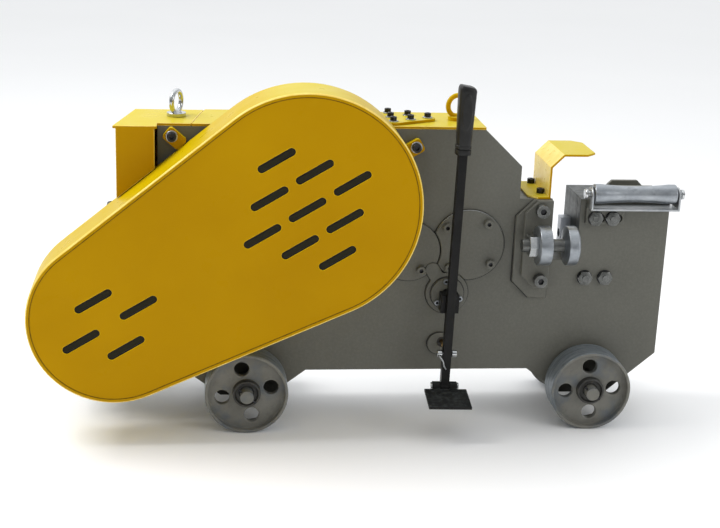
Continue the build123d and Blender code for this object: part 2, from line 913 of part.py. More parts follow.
with BuildPart() as belt_guard:
    belt_hull(guard_big_radius, guard_small_radius, guard_front_y, guard_rear_y)
    belt_hull(
        guard_big_radius - guard_sheet,
        guard_small_radius - guard_sheet,
        guard_front_y + guard_sheet,
        guard_rear_y,
        mode=Mode.SUBTRACT,
    )
    belt_hull(
        guard_big_radius - guard_rim_step,
        guard_small_radius - guard_rim_step,
        guard_front_y,
        guard_front_y + guard_panel_recess,
        mode=Mode.SUBTRACT,
    )
    for lug_x, lug_z in guard_bolts:
        lug_angle = atan2(lug_z - guard_lug_aim_z, lug_x - guard_lug_aim_x)
        with BuildSketch(side_plane(guard_rear_y - lug_thickness)) as lug:
            with Locations((lug_x - lug_width * cos(lug_angle) / 4, lug_z - lug_width * sin(lug_angle) / 4)):
                RectangleRounded(1.5 * lug_width, lug_width, lug_corner, rotation=degrees(lug_angle))
        extrude(lug.sketch, amount=-guard_rear_gap - lug_thickness)
    belt_hull(
        guard_big_radius - guard_sheet,
        guard_small_radius - guard_sheet,
        guard_front_y + guard_sheet,
        front_face_y,
        mode=Mode.SUBTRACT,
    )
    for lug_x, lug_z in guard_bolts:
        drill_y(lug_x, lug_z, socket_head_radius, guard_rear_y - lug_thickness, front_face_y)
    for slot_x, slot_z in guard_slots:
        with BuildSketch(side_plane(guard_front_y)) as slot:
            with Locations((slot_x, slot_z)):
                SlotOverall(slot_length, slot_width, rotation=slot_angle)
        extrude(slot.sketch, amount=-guard_sheet, mode=Mode.SUBTRACT)
    with BuildSketch(side_plane(guard_rear_y - guard_sheet)) as lip:
        with Locations((motor_x, motor_z)):
            Circle(guard_small_radius - guard_sheet / 2)
            Circle(guard_lip_radius, mode=Mode.SUBTRACT)
            Rectangle(
                2 * guard_small_radius,
                2 * guard_small_radius,
                align=(Align.MAX, Align.CENTER),
                mode=Mode.INTERSECT,
            )
    extrude(lip.sketch, amount=-guard_sheet)
save(belt_guard, "belt_guard")

# Covers on the front plate: each is cut back to clear its neighbour
def shaft_hull(radius, mode):
    lobe = (shaft_lobe_x, shaft_lobe_z)
    hull_y((middle_x, middle_z), radius, lobe, radius, front_face_y - cover_plate, front_face_y, mode)


def flange_lobe(radius, mode):
    lobe = (flange_lobe_x, flange_lobe_z)
    hull_y((lever_x, lever_pivot_z), radius, lobe, radius, front_face_y - cover_plate, front_face_y, mode)


with BuildPart() as shaft_cover:
    shaft_hull(shaft_cover_radius, Mode.ADD)
    flange_lobe(flange_lobe_radius + flange_gap, Mode.SUBTRACT)
    for screw_x, screw_z in shaft_screws:
        drill_y(screw_x, screw_z, socket_head_radius, front_face_y - cover_plate, front_face_y)
save(shaft_cover, "shaft_cover")

with BuildPart() as crank_cover:
    bar_y(crank_x, crank_z, crank_cover_radius, front_face_y - cover_plate, front_face_y)
    shaft_hull(shaft_cover_radius + cover_gap, Mode.SUBTRACT)
    flange_lobe(flange_lobe_radius + flange_gap, Mode.SUBTRACT)
    bite = flange_radius + flange_gap
    bar_y(lever_x, lever_pivot_z, bite, front_face_y - cover_plate, front_face_y, mode=Mode.SUBTRACT)
    for screw_x, screw_z in crank_screws:
        drill_y(screw_x, screw_z, socket_head_radius, front_face_y - cover_plate, front_face_y)
save(crank_cover, "crank_cover")

flange_face_y = front_face_y - 2 * flange_thickness

with BuildPart() as clutch_flange:
    bar_y(lever_x, lever_pivot_z, flange_radius, front_face_y - flange_thickness, front_face_y)
    bar_y(lever_x, lever_pivot_z, flange_disc_radius, flange_face_y, front_face_y)
    flange_lobe(flange_lobe_radius, Mode.ADD)
    flange_bore = shift_shaft_radius + running_clearance
    bar_y(lever_x, lever_pivot_z, flange_bore, flange_face_y, front_face_y, mode=Mode.SUBTRACT)
    for screw_x, screw_z in flange_screws:
        drill_y(screw_x, screw_z, flange_head_radius, flange_face_y, front_face_y)
save(clutch_flange, "clutch_flange")

with BuildPart() as rear_bearing_covers:
    for shaft_x, shaft_z, shaft_radius in shafts:
        bar_y(shaft_x, shaft_z, back_cover_radius, back_face_y, back_face_y + cover_plate)
        for n in range(4):
            head_circle = back_cover_radius - back_head_radius - cover_gap
            head_x, head_z = on_circle(shaft_x, shaft_z, head_circle, 45 + 90 * n)
            bar_y(
                head_x,
                head_z,
                back_head_radius,
                back_face_y + cover_plate,
                back_face_y + cover_plate + back_head_height,
            )
save(rear_bearing_covers, "rear_bearing_covers")

# Top cover, its lid, the motor hood and the lifting eyes
lid_corners = [on_circle(lid_x, lid_y, lid_circle, 120 * n) for n in range(3)]
lid_bolts = lid_corners + [on_circle(lid_x, lid_y, lid_circle / 2, 60 + 120 * n) for n in range(3)]

hood_front_y = front_face_y - hood_front_gap
hood_back_y = back_face_y - hood_back_inset


def seam_x(y):
    return hood_seam_x + hood_slant * (y - front_face_y) / (hood_back_y - hood_front_y)


with BuildPart() as top_cover:
    with BuildSketch(Plane.XY.offset(plate_top_z)) as cover:
        Polygon(
            (seam_x(front_face_y) + cover_seam, front_face_y),
            (slope_start_x, front_face_y),
            (slope_start_x, back_face_y),
            (seam_x(back_face_y) + cover_seam, back_face_y),
            align=None,
        )
    extrude(cover.sketch, amount=cover_thickness)
    bar_z(lid_x, lid_y, lid_hole_radius, plate_top_z, cover_top_z, mode=Mode.SUBTRACT)
    for bolt_x, bolt_y in lid_bolts:
        hole = lid_head_radius * shank_share + shank_clearance
        bar_z(bolt_x, bolt_y, hole, plate_top_z, cover_top_z, mode=Mode.SUBTRACT)
    bar_z(right_eye_x, eye_y, eye_stem_radius, plate_top_z, cover_top_z, mode=Mode.SUBTRACT)
save(top_cover, "top_cover")

with BuildPart() as inspection_lid:
    with BuildSketch(Plane.XY.offset(cover_top_z)) as lid:
        with Locations(*lid_corners):
            Circle(lid_corner)
        make_hull()
    extrude(lid.sketch, amount=lid_thickness)
    for bolt_x, bolt_y in lid_bolts:
        hole = lid_head_radius * shank_share + shank_clearance
        bar_z(bolt_x, bolt_y, hole, cover_top_z, cover_top_z + lid_thickness, mode=Mode.SUBTRACT)
save(inspection_lid, "inspection_lid")

with BuildPart() as motor_hood:
    with BuildSketch(Plane.XY.offset(plate_top_z)) as hood_top:
        Polygon(
            (hood_left_x - hood_lip, hood_front_y),
            (tail_x, hood_front_y),
            (tail_x, front_face_y),
            (seam_x(front_face_y), front_face_y),
            (seam_x(hood_back_y), hood_back_y),
            (hood_left_x + hood_slant, hood_back_y),
            align=None,
        )
    extrude(hood_top.sketch, amount=cover_thickness)
    with BuildSketch(Plane.XY.offset(hood_bottom_z)) as walls:
        Polygon(
            (hood_left_x, hood_front_y),
            (tail_x - hood_front_short, hood_front_y),
            (tail_x - hood_front_short, hood_front_y + hood_sheet),
            (hood_left_x + hood_sheet, hood_front_y + hood_sheet),
            (hood_left_x + hood_slant + hood_sheet, hood_back_y - hood_sheet),
            (tail_x, hood_back_y - hood_sheet),
            (tail_x, hood_back_y),
            (hood_left_x + hood_slant, hood_back_y),
            align=None,
        )
    extrude(walls.sketch, amount=plate_top_z - hood_bottom_z)
    belt_hull(
        guard_big_radius + hood_guard_gap,
        guard_small_radius + hood_guard_gap,
        guard_front_y,
        guard_rear_y + hood_guard_gap,
        mode=Mode.SUBTRACT,
    )
    bar_z(left_eye_x, eye_y, eye_stem_radius, plate_top_z, cover_top_z, mode=Mode.SUBTRACT)
save(motor_hood, "motor_hood")

eye_middle_z = cover_top_z + eye_base_height + eye_ring_radius

with BuildPart() as lifting_eyes:
    for eye_x, turn in ((left_eye_x, left_eye_turn), (right_eye_x, right_eye_turn)):
        bar_z(eye_x, eye_y, eye_stem_radius, plate_top_z, cover_top_z)
        bar_z(eye_x, eye_y, eye_base_radius, cover_top_z, cover_top_z + eye_base_height)
        across = (cos(radians(turn)), sin(radians(turn)), 0)
        through = (sin(radians(turn)), -cos(radians(turn)), 0)
        with BuildSketch(Plane(origin=(eye_x, eye_y, eye_middle_z), x_dir=across, z_dir=(0, 0, 1))) as wire:
            with Locations((eye_ring_radius, 0)):
                Circle(eye_wire_radius)
        revolve(wire.sketch, axis=Axis((eye_x, eye_y, eye_middle_z), through))
save(lifting_eyes, "lifting_eyes")


# Turned pieces: the outline is given as pairs of radius and place along the axis
def turned_y(x, z, points, mode=Mode.ADD):
    with BuildSketch(Plane(origin=(x, 0, z), x_dir=(1, 0, 0), z_dir=(0, 0, 1))) as profile:
        Polygon(*points, align=None)
    revolve(profile.sketch, axis=Axis((x, 0, z), (0, 1, 0)), mode=mode)


def turned_x(y, z, points, mode=Mode.ADD):
    with BuildSketch(Plane(origin=(0, y, z), x_dir=(0, 1, 0), z_dir=(0, 0, -1))) as profile:
        Polygon(*points, align=None)
    revolve(profile.sketch, axis=Axis((0, y, z), (1, 0, 0)), mode=mode)


# Slide guide round the ram's neck
guide_left_x = eccentric_x + window_half_width + yoke_wall + 2 * crank_throw + guide_left_gap
guide_right_x = throat_left_x - throat_wall_thickness
neck_low_z = ram_neck_bottom_z - ram_clearance
neck_high_z = ram_neck_bottom_z + ram_neck_height + ram_clearance
neck_front_y = ram_y - ram_clearance
neck_back_y = ram_y + ram_thickness + ram_clearance

with BuildPart() as slide_guide:
    block(
        guide_left_x,
        guide_right_x,
        front_inner_y,
        neck_back_y + keeper_thickness,
        neck_low_z - guide_wall,
        neck_high_z + guide_wall,
    )
    block(guide_left_x, guide_right_x, neck_front_y, neck_back_y, neck_low_z, neck_high_z, mode=Mode.SUBTRACT)
save(slide_guide, "slide_guide")

# Ram: a window round the eccentric, a neck in the guide and the moving blade on its end
ram_end_x = moving_blade_x - moving_blade_length
yoke_right_x = eccentric_x + window_half_width + yoke_wall

with BuildPart() as ram:
    block(
        eccentric_x - window_half_width - yoke_wall,
        yoke_right_x,
        ram_y,
        ram_y + ram_thickness,
        crank_z - window_half_height - yoke_wall,
        crank_z + window_half_height + yoke_wall,
    )
    block(
        eccentric_x - window_half_width,
        eccentric_x + window_half_width,
        ram_y,
        ram_y + ram_thickness,
        crank_z - window_half_height,
        crank_z + window_half_height,
        mode=Mode.SUBTRACT,
    )
    block(
        yoke_right_x,
        ram_end_x,
        ram_y,
        ram_y + ram_thickness,
        ram_neck_bottom_z,
        ram_neck_bottom_z + ram_neck_height,
    )
save(ram, "ram")

blade_front_y = ram_y + ram_thickness - blade_thickness

with BuildPart() as moving_blade:
    block(
        ram_end_x,
        moving_blade_x,
        blade_front_y,
        ram_y + ram_thickness,
        ram_neck_bottom_z,
        ram_neck_bottom_z + ram_neck_height,
    )
    bar_x(
        blade_front_y + blade_thickness / 2,
        blade_middle_z,
        blade_bolt_radius,
        moving_blade_x - blade_bolt_recess,
        moving_blade_x,
        mode=Mode.SUBTRACT,
    )
save(moving_blade, "moving_blade")

# Crankshaft, gears and the two upper shafts
shaft_front_y = front_face_y + shaft_end_gap
shaft_back_y = back_face_y - shaft_end_gap
eccentric_back_y = ram_y + ram_thickness + eccentric_end_gap
gear_back_y = second_gear_y + gear_width

with BuildPart() as crankshaft:
    bar_y(crank_x, crank_z, crank_journal_radius, shaft_front_y, shaft_back_y)
    bar_y(eccentric_x, crank_z, eccentric_radius, ram_y + eccentric_end_gap, eccentric_back_y)
    bar_y(crank_x, crank_z, crank_gear_seat_radius, eccentric_back_y, gear_back_y)
save(crankshaft, "crankshaft")

first_direction = degrees(atan2(middle_z - input_z, middle_x - input_x))
second_direction = degrees(atan2(crank_z - middle_z, crank_x - middle_x))
first_gear_start = first_direction + 180 + 180 / first_gear_teeth
second_gear_start = second_direction + 180 + 180 / second_gear_teeth
crank_gear_teeth_outline = gear_points(second_gear_teeth, second_module, crank_x, crank_z, second_gear_start)
middle_gear_outline = gear_points(first_gear_teeth, first_module, middle_x, middle_z, first_gear_start)
middle_pinion_outline = gear_points(second_pinion_teeth, second_module, middle_x, middle_z, second_direction)
input_pinion_outline = gear_points(first_pinion_teeth, first_module, input_x, input_z, first_direction)

with BuildPart() as crank_gear:
    outline_y(crank_gear_teeth_outline, second_gear_y, gear_back_y)
    gear_bore = crank_gear_seat_radius + running_clearance
    bar_y(crank_x, crank_z, gear_bore, second_gear_y, gear_back_y, mode=Mode.SUBTRACT)
save(crank_gear, "crank_gear")

with BuildPart() as intermediate_gear:
    outline_y(middle_gear_outline, first_gear_y, first_gear_y + gear_width)
    gear_end_y = first_gear_y + gear_width
    bar_y(middle_x, middle_z, middle_shaft_radius, first_gear_y, gear_end_y, mode=Mode.SUBTRACT)
save(intermediate_gear, "intermediate_gear")

with BuildPart() as intermediate_shaft:
    bar_y(middle_x, middle_z, middle_shaft_radius, shaft_front_y, shaft_back_y)
    outline_y(middle_pinion_outline, second_gear_y, gear_back_y)
save(intermediate_shaft, "intermediate_shaft")

with BuildPart() as input_shaft:
    bar_y(input_x, input_z, input_shaft_radius, pulley_y, shaft_back_y)
    outline_y(input_pinion_outline, first_gear_y, first_gear_y + gear_width)
save(input_shaft, "input_shaft")

with BuildPart() as shaft_bushes:
    for shaft_x, shaft_z, shaft_radius in shafts:
        for y_from, y_to in ((front_face_y, front_inner_y), (back_inner_y, back_face_y)):
            bore = shaft_radius + running_clearance
            bar_y(shaft_x, shaft_z, bore + bush_wall, y_from, y_to)
            bar_y(shaft_x, shaft_z, bore, y_from, y_to, mode=Mode.SUBTRACT)
save(shaft_bushes, "shaft_bushes")

# Belt pulleys: the large one is the flywheel
pulley_end_y = pulley_y + pulley_width
pulley_middle_y = pulley_y + pulley_width / 2
groove_places = [pulley_middle_y - groove_spacing / 2, pulley_middle_y + groove_spacing / 2]
groove_bottom_width = groove_top_width - 2 * groove_depth * tan(radians(groove_angle / 2))


def belt_grooves(x, z, radius):
    for groove_y in groove_places:
        turned_y(
            x,
            z,
            [
                (radius, groove_y - groove_top_width / 2),
                (radius - groove_depth, groove_y - groove_bottom_width / 2),
                (radius - groove_depth, groove_y + groove_bottom_width / 2),
                (radius, groove_y + groove_top_width / 2),
            ],
            mode=Mode.SUBTRACT,
        )


with BuildPart() as flywheel:
    bar_y(input_x, input_z, flywheel_radius, pulley_y, pulley_end_y)
    inner = flywheel_radius - flywheel_rim
    web_front_y = pulley_middle_y - flywheel_web / 2
    web_back_y = pulley_middle_y + flywheel_web / 2
    bar_y(input_x, input_z, inner, pulley_y, web_front_y, mode=Mode.SUBTRACT)
    bar_y(input_x, input_z, inner, web_back_y, pulley_end_y, mode=Mode.SUBTRACT)
    bar_y(input_x, input_z, flywheel_hub_radius, pulley_y, pulley_end_y)
    for n in range(5):
        hole_x, hole_z = on_circle(input_x, input_z, flywheel_hole_circle, 18 + 72 * n)
        bar_y(hole_x, hole_z, flywheel_hole_radius, pulley_y, pulley_end_y, mode=Mode.SUBTRACT)
    bar_y(input_x, input_z, input_shaft_radius, pulley_y, pulley_end_y, mode=Mode.SUBTRACT)
    belt_grooves(input_x, input_z, flywheel_radius)
save(flywheel, "flywheel")

with BuildPart() as motor_pulley:
    bar_y(motor_x, motor_z, motor_pulley_radius, pulley_y, pulley_end_y)
    bar_y(motor_x, motor_z, motor_shaft_radius, pulley_y, pulley_end_y, mode=Mode.SUBTRACT)
    belt_grooves(motor_x, motor_z, motor_pulley_radius)
save(motor_pulley, "motor_pulley")

# V-belts: one section led round both pulleys
belt_span = hypot(input_x - motor_x, input_z - motor_z)
belt_dir_x = (input_x - motor_x) / belt_span
belt_dir_z = (input_z - motor_z) / belt_span
belt_lean = (flywheel_radius - motor_pulley_radius) / belt_span
belt_square = sqrt(1 - belt_lean**2)
belt_flank = tan(radians(groove_angle / 2))
belt_top_width = groove_top_width - 2 * belt_clearance / cos(radians(groove_angle / 2))
belt_bottom_width = belt_top_width - 2 * belt_height * belt_flank
side_x = belt_dir_z * belt_square
side_z = belt_dir_x * belt_square
upper_normal = (-side_x - belt_dir_x * belt_lean, side_z - belt_dir_z * belt_lean)
lower_normal = (side_x - belt_dir_x * belt_lean, -side_z - belt_dir_z * belt_lean)


def off_axis(x, z, radius, normal, y):
    return x + radius * normal[0], y, z + radius * normal[1]


with BuildPart() as v_belts:
    for groove_y in groove_places:
        upper_big = off_axis(input_x, input_z, flywheel_radius, upper_normal, groove_y)
        lower_big = off_axis(input_x, input_z, flywheel_radius, lower_normal, groove_y)
        upper_small = off_axis(motor_x, motor_z, motor_pulley_radius, upper_normal, groove_y)
        lower_small = off_axis(motor_x, motor_z, motor_pulley_radius, lower_normal, groove_y)
        far_big = off_axis(input_x, input_z, flywheel_radius, (belt_dir_x, belt_dir_z), groove_y)
        far_small = off_axis(motor_x, motor_z, -motor_pulley_radius, (belt_dir_x, belt_dir_z), groove_y)
        with BuildLine() as loop:
            Line(upper_small, upper_big)
            ThreePointArc(upper_big, far_big, lower_big)
            Line(lower_big, lower_small)
            ThreePointArc(lower_small, far_small, upper_small)
        start = Plane(
            origin=upper_small,
            x_dir=(0, 1, 0),
            z_dir=(upper_big[0] - upper_small[0], 0, upper_big[2] - upper_small[2]),
        )
        with BuildSketch(start) as section:
            Polygon(
                (-belt_top_width / 2, 0),
                (belt_top_width / 2, 0),
                (belt_bottom_width / 2, -belt_height),
                (-belt_bottom_width / 2, -belt_height),
                align=None,
            )
        sweep(section.sketch, path=loop.wire())
save(v_belts, "v_belts")

# Motor: finned frame with feet, end shields, fan cover, terminal box
frame_front_y = motor_face_y + shield_length
frame_back_y = frame_front_y + motor_frame_length
frame_middle_y = (frame_front_y + frame_back_y) / 2
fan_cover_y = frame_back_y + shield_length
fan_cover_end_y = fan_cover_y + fan_cover_length
base_top_z = motor_z - motor_foot_height
box_x = motor_x + box_shift_x
foot_half_x = foot_spacing_x / 2
foot_bolts = [
    (motor_x + foot_half_x * i, frame_middle_y + foot_spacing_y / 2 * j) for i in (-1, 1) for j in (-1, 1)
]

with BuildPart() as motor_frame:
    with BuildSketch(side_plane(frame_front_y)) as fins:
        with Locations((motor_x, motor_z)):
            Circle(motor_radius)
            with PolarLocations(motor_radius, fin_count):
                Rectangle(2 * fin_height, fin_thickness)
    extrude(fins.sketch, amount=-motor_frame_length)
    for side in (-1, 1):
        foot_x = motor_x + side * foot_half_x
        web_x = motor_x + side * (foot_half_x - foot_web_gap - foot_web / 2)
        block(
            foot_x - foot_width / 2,
            foot_x + foot_width / 2,
            frame_front_y,
            frame_back_y,
            base_top_z,
            base_top_z + foot_thickness,
        )
        block(web_x - foot_web / 2, web_x + foot_web / 2, frame_front_y, frame_back_y, base_top_z, motor_z)
    block(box_x - box_half_x, box_x + box_half_x, box_from_y, box_to_y, motor_z, box_seat_z)
    bar_y(motor_x, motor_z, stator_bore_radius, frame_front_y, frame_back_y, mode=Mode.SUBTRACT)
    for bolt_x, bolt_y in foot_bolts:
        bar_z(
            bolt_x,
            bolt_y,
            foot_bolt_radius,
            base_top_z,
            base_top_z + foot_thickness,
            mode=Mode.SUBTRACT,
        )
save(motor_frame, "motor_frame")

with BuildPart() as motor_end_shields:
    for y_from in (motor_face_y, frame_back_y):
        bar_y(motor_x, motor_z, shield_radius, y_from, y_from + shield_length)
    shaft_bore = motor_shaft_radius + running_clearance
    bar_y(motor_x, motor_z, shaft_bore, motor_face_y, fan_cover_y, mode=Mode.SUBTRACT)
save(motor_end_shields, "motor_end_shields")

with BuildPart() as motor_fan_cover:
    bar_y(motor_x, motor_z, fan_cover_radius, fan_cover_y, fan_cover_end_y)
    inner = fan_cover_radius - fan_cover_sheet
    bar_y(motor_x, motor_z, inner, fan_cover_y, fan_cover_end_y - fan_cover_sheet, mode=Mode.SUBTRACT)
    for n in range(12):
        with BuildSketch(side_plane(fan_cover_end_y)) as slot:
            with Locations((motor_x, motor_z)):
                with PolarLocations(fan_slot_circle, 1, start_angle=30 * n):
                    SlotOverall(fan_slot_length, fan_slot_width)
        extrude(slot.sketch, amount=fan_cover_sheet, mode=Mode.SUBTRACT)
save(motor_fan_cover, "motor_fan_cover")

with BuildPart() as terminal_box:
    block(box_x - box_half_x, box_x + box_half_x, box_from_y, box_to_y, box_seat_z, box_top_z)
    fillet(terminal_box.edges().filter_by(Axis.Z), fin_height)
    gland_z = (box_seat_z + box_top_z) / 2
    bar_y(box_x, gland_z, gland_radius, box_to_y, box_to_y + gland_length)
save(terminal_box, "terminal_box")

fan_y = fan_cover_y + fan_gap

with BuildPart() as motor_shaft:
    bar_y(motor_x, motor_z, motor_shaft_radius, pulley_y, fan_y + fan_disc + vane_height)
    bar_y(motor_x, motor_z, rotor_radius, frame_front_y + rotor_end_gap, frame_back_y - rotor_end_gap)
    bar_y(motor_x, motor_z, fan_radius, fan_y, fan_y + fan_disc)
    with BuildSketch(side_plane(fan_y + fan_disc)) as vanes:
        with Locations((motor_x, motor_z)):
            with PolarLocations(vane_circle, 6):
                Rectangle(vane_length, fan_disc)
    extrude(vanes.sketch, amount=-vane_height)
save(motor_shaft, "motor_shaft")

with BuildPart() as motor_base:
    block(
        base_left_x,
        tail_recess_x,
        frame_front_y - base_edge,
        frame_back_y + base_edge,
        base_top_z - base_thickness,
        base_top_z,
    )
    base_bottom_z = base_top_z - base_thickness
    for rib_y in (front_inner_y, back_inner_y - rib_thickness):
        outline_y(
            [
                (tail_recess_x, base_bottom_z),
                (tail_recess_x, base_bottom_z - rib_drop),
                (tail_recess_x - rib_reach, base_bottom_z),
            ],
            max(rib_y, frame_front_y - base_edge),
            rib_y + rib_thickness,
        )
    for bolt_x, bolt_y in foot_bolts:
        bar_z(bolt_x, bolt_y, foot_bolt_radius, base_bottom_z, base_top_z, mode=Mode.SUBTRACT)
save(motor_base, "motor_base")

# Clutch lever: rod with a pin eye, grip, hub with its shift shaft and arm, detent
grip_low_z = lever_top_z - grip_length

bar_half = lever_bar / 2

with BuildPart() as lever_rod:
    block(
        lever_x - bar_half,
        lever_x + bar_half,
        lever_y - bar_half,
        lever_y + bar_half,
        pedal_pivot_z,
        lever_top_z - grip_wall,
    )
    tube_from_x = lever_x - pedal_tube_length / 2
    tube_to_x = lever_x + pedal_tube_length / 2
    bar_x(lever_y, pedal_pivot_z, pedal_tube_radius, tube_from_x, tube_to_x)
    eye_bore = pedal_pin_radius + pedal_pin_clearance
    bar_x(lever_y, pedal_pivot_z, eye_bore, tube_from_x, tube_to_x, mode=Mode.SUBTRACT)
    bar_x(lever_y, cross_bolt_z, cross_bolt_radius, tube_from_x, tube_to_x, mode=Mode.SUBTRACT)
save_leaned(lever_rod, "lever_rod")


def grip_section(width, z):
    with BuildSketch(Plane.XY.offset(z)) as section:
        with Locations((lever_x, lever_y)):
            RectangleRounded(width, width, grip_edge)
    return section.sketch


with BuildPart() as lever_grip:
    grip_cut_z = lever_top_z - grip_top_trim
    ring_low_z = grip_low_z + collar_height + ring_gap
    ring_high_z = ring_low_z + ring_height
    extrude(grip_section(collar_width, grip_low_z), amount=collar_height)
    extrude(grip_section(collar_width, ring_low_z), amount=ring_height)
    extrude(grip_section(grip_low_width, grip_low_z), amount=ring_high_z - grip_low_z)
    loft([grip_section(grip_low_width, ring_high_z), grip_section(grip_top_width, lever_top_z)])
    outline_y(
        [
            (lever_x - grip_top_width, grip_cut_z + grip_top_drop / 2),
            (lever_x + grip_top_width, grip_cut_z - 3 * grip_top_drop / 2),
            (lever_x + grip_top_width, lever_top_z + grip_top_drop),
            (lever_x - grip_top_width, lever_top_z + grip_top_drop),
        ],
        lever_y - grip_top_width,
        lever_y + grip_top_width,
        mode=Mode.SUBTRACT,
    )
    block(
        lever_x - bar_half,
        lever_x + bar_half,
        lever_y - bar_half,
        lever_y + bar_half,
        grip_low_z,
        lever_top_z - grip_wall,
        mode=Mode.SUBTRACT,
    )
save_leaned(lever_grip, "lever_grip")

hub_back_y = front_face_y - hub_rear_gap
hub_front_y = hub_back_y - hub_depth
arm_back_y = front_inner_y + clutch_arm_thickness + cover_gap
arm_turn = degrees(atan2(crank_z - lever_pivot_z, crank_x - lever_x))

with BuildPart() as lever_hub:
    hub_low_z = lever_pivot_z - hub_drop
    block(
        lever_x - hub_width / 2,
        lever_x + hub_width / 2,
        hub_front_y,
        hub_back_y,
        hub_low_z,
        hub_low_z + hub_height,
    )
    block(
        lever_x - bar_half,
        lever_x + bar_half,
        lever_y - bar_half,
        lever_y + bar_half,
        hub_low_z,
        hub_low_z + hub_height,
        mode=Mode.SUBTRACT,
    )
    bar_y(lever_x, lever_pivot_z, shift_shaft_radius, hub_back_y, arm_back_y)
    with BuildSketch(side_plane(arm_back_y)) as arm:
        arm_tip = on_circle(lever_x, lever_pivot_z, clutch_arm_length / 2, arm_turn)
        with Locations(arm_tip):
            SlotCenterToCenter(clutch_arm_length, clutch_arm_width, rotation=arm_turn)
    extrude(arm.sketch, amount=clutch_arm_thickness)
    bolt_from_x = lever_x - cross_bolt_length / 2
    bolt_to_x = lever_x + cross_bolt_length / 2
    bar_x(lever_y, cross_bolt_z, cross_bolt_radius, bolt_from_x, bolt_to_x)
    bar_x(lever_y, cross_bolt_z, cross_head_radius, bolt_from_x, bolt_from_x + cross_head_length)
    bar_x(lever_y, cross_bolt_z, cross_head_radius, bolt_to_x - cross_head_length, bolt_to_x)
save_leaned(lever_hub, "lever_hub")

detent_face_y = front_face_y - flange_thickness

with BuildPart() as lever_detent:
    bar_y(detent_x, detent_z, detent_radius, detent_face_y, front_face_y)
    recess_y = detent_face_y + plunger_recess_depth
    bar_y(plunger_x, plunger_z, plunger_recess_radius, detent_face_y, recess_y, mode=Mode.SUBTRACT)
    bar_y(plunger_x, plunger_z, plunger_radius, detent_face_y, front_face_y, mode=Mode.SUBTRACT)
save(lever_detent, "lever_detent")

with BuildPart() as detent_plunger:
    bar_y(plunger_x, plunger_z, plunger_radius, front_face_y - plunger_reach, front_face_y)
save(detent_plunger, "detent_plunger")

# Foot pedal on its pin
pedal_back_y = lever_y - pedal_back_gap
pedal_slope = tan(radians(pedal_drop_angle))
lug_from = pedal_tube_length / 2 + pedal_lug_gap
lug_to = lug_from + pedal_lug_thickness

with BuildPart() as pedal:
    with BuildSketch(end_plane(lever_x - pedal_width / 2)) as plate:
        front_y = pedal_back_y - pedal_depth * cos(radians(pedal_drop_angle))
        drop = (pedal_back_y - front_y) * pedal_slope
        Polygon(
            (pedal_back_y, pedal_pivot_z),
            (front_y, pedal_pivot_z - drop),
            (front_y, pedal_pivot_z - drop - pedal_thickness),
            (pedal_back_y, pedal_pivot_z - pedal_thickness),
            align=None,
        )
    extrude(plate.sketch, amount=pedal_width)
    for lug_x in (lever_x - lug_to, lever_x + lug_from):
        bar_x(lever_y, pedal_pivot_z, pedal_tube_radius, lug_x, lug_x + pedal_lug_thickness)
        block(
            lug_x,
            lug_x + pedal_lug_thickness,
            lever_y - pedal_lug_reach,
            lever_y,
            pedal_pivot_z - pedal_tube_radius,
            pedal_pivot_z,
        )
        bar_x(
            lever_y,
            pedal_pivot_z,
            pedal_pin_radius,
            lug_x,
            lug_x + pedal_lug_thickness,
            mode=Mode.SUBTRACT,
        )
save_leaned(pedal, "pedal")

with BuildPart() as pedal_pin:
    pin_from_x = lever_x - lug_to
    pin_to_x = lever_x + lug_to
    bar_x(lever_y, pedal_pivot_z, pedal_pin_radius, pin_from_x, pin_to_x)
    for head_x in (pin_from_x - pedal_pin_head_length, pin_to_x):
        bar_x(lever_y, pedal_pivot_z, pedal_pin_head_radius, head_x, head_x + pedal_pin_head_length)
save_leaned(pedal_pin, "pedal_pin")

# Slide cover plates and the bar stop
slide_cover_y = front_face_y - slide_plate_thickness
slide_face_y = slide_cover_y - slide_plate_thickness


def cornered_plate(left_x, bottom_z, corner, y_from, y_to):
    outline_y(
        [
            (left_x + corner, ledge_z),
            (left_x, ledge_z - corner),
            (left_x, bottom_z + corner),
            (left_x + corner, bottom_z),
            (throat_left_x, bottom_z),
            (throat_left_x, ledge_z),
        ],
        y_from,
        y_to,
    )
    for bolt_x, bolt_z in slide_bolts:
        drill_y(bolt_x, bolt_z, large_head_radius, y_from, y_to)


with BuildPart() as slide_cover:
    cornered_plate(slide_cover_left_x, slide_cover_bottom_z, slide_cover_corner, slide_cover_y, front_face_y)
save(slide_cover, "slide_cover")

stop_boss_end_x = stop_boss_x + stop_boss_length
stop_bore = stop_screw_radius + stop_clearance

with BuildPart() as slide_plate:
    cornered_plate(slide_plate_left_x, slide_plate_bottom_z, slide_plate_corner, slide_face_y, slide_cover_y)
    block(
        stop_boss_x,
        stop_boss_end_x,
        stop_y,
        slide_face_y,
        stop_z - stop_foot_height / 2,
        stop_z + stop_foot_height / 2,
    )
    bar_x(stop_y, stop_z, stop_disc_radius, stop_boss_x, stop_boss_end_x)
    bar_x(stop_y, stop_z, stop_bore, stop_boss_x, stop_boss_end_x, mode=Mode.SUBTRACT)
save(slide_plate, "slide_plate")

stop_nut_x = stop_boss_x - stop_nut_height

with BuildPart() as stop_lock_nut:
    with BuildSketch(end_plane(stop_nut_x)) as nut:
        with Locations((stop_y, stop_z)):
            RegularPolygon(stop_nut_size / 2, 6, major_radius=False)
            Circle(stop_bore, mode=Mode.SUBTRACT)
    extrude(nut.sketch, amount=stop_nut_height)
save(stop_lock_nut, "stop_lock_nut")

stop_neck_end_x = stop_boss_end_x + stop_neck_length
stop_flare_end_x = stop_neck_end_x + stop_flare_length
stop_end_x = stop_flare_end_x + stop_head_length

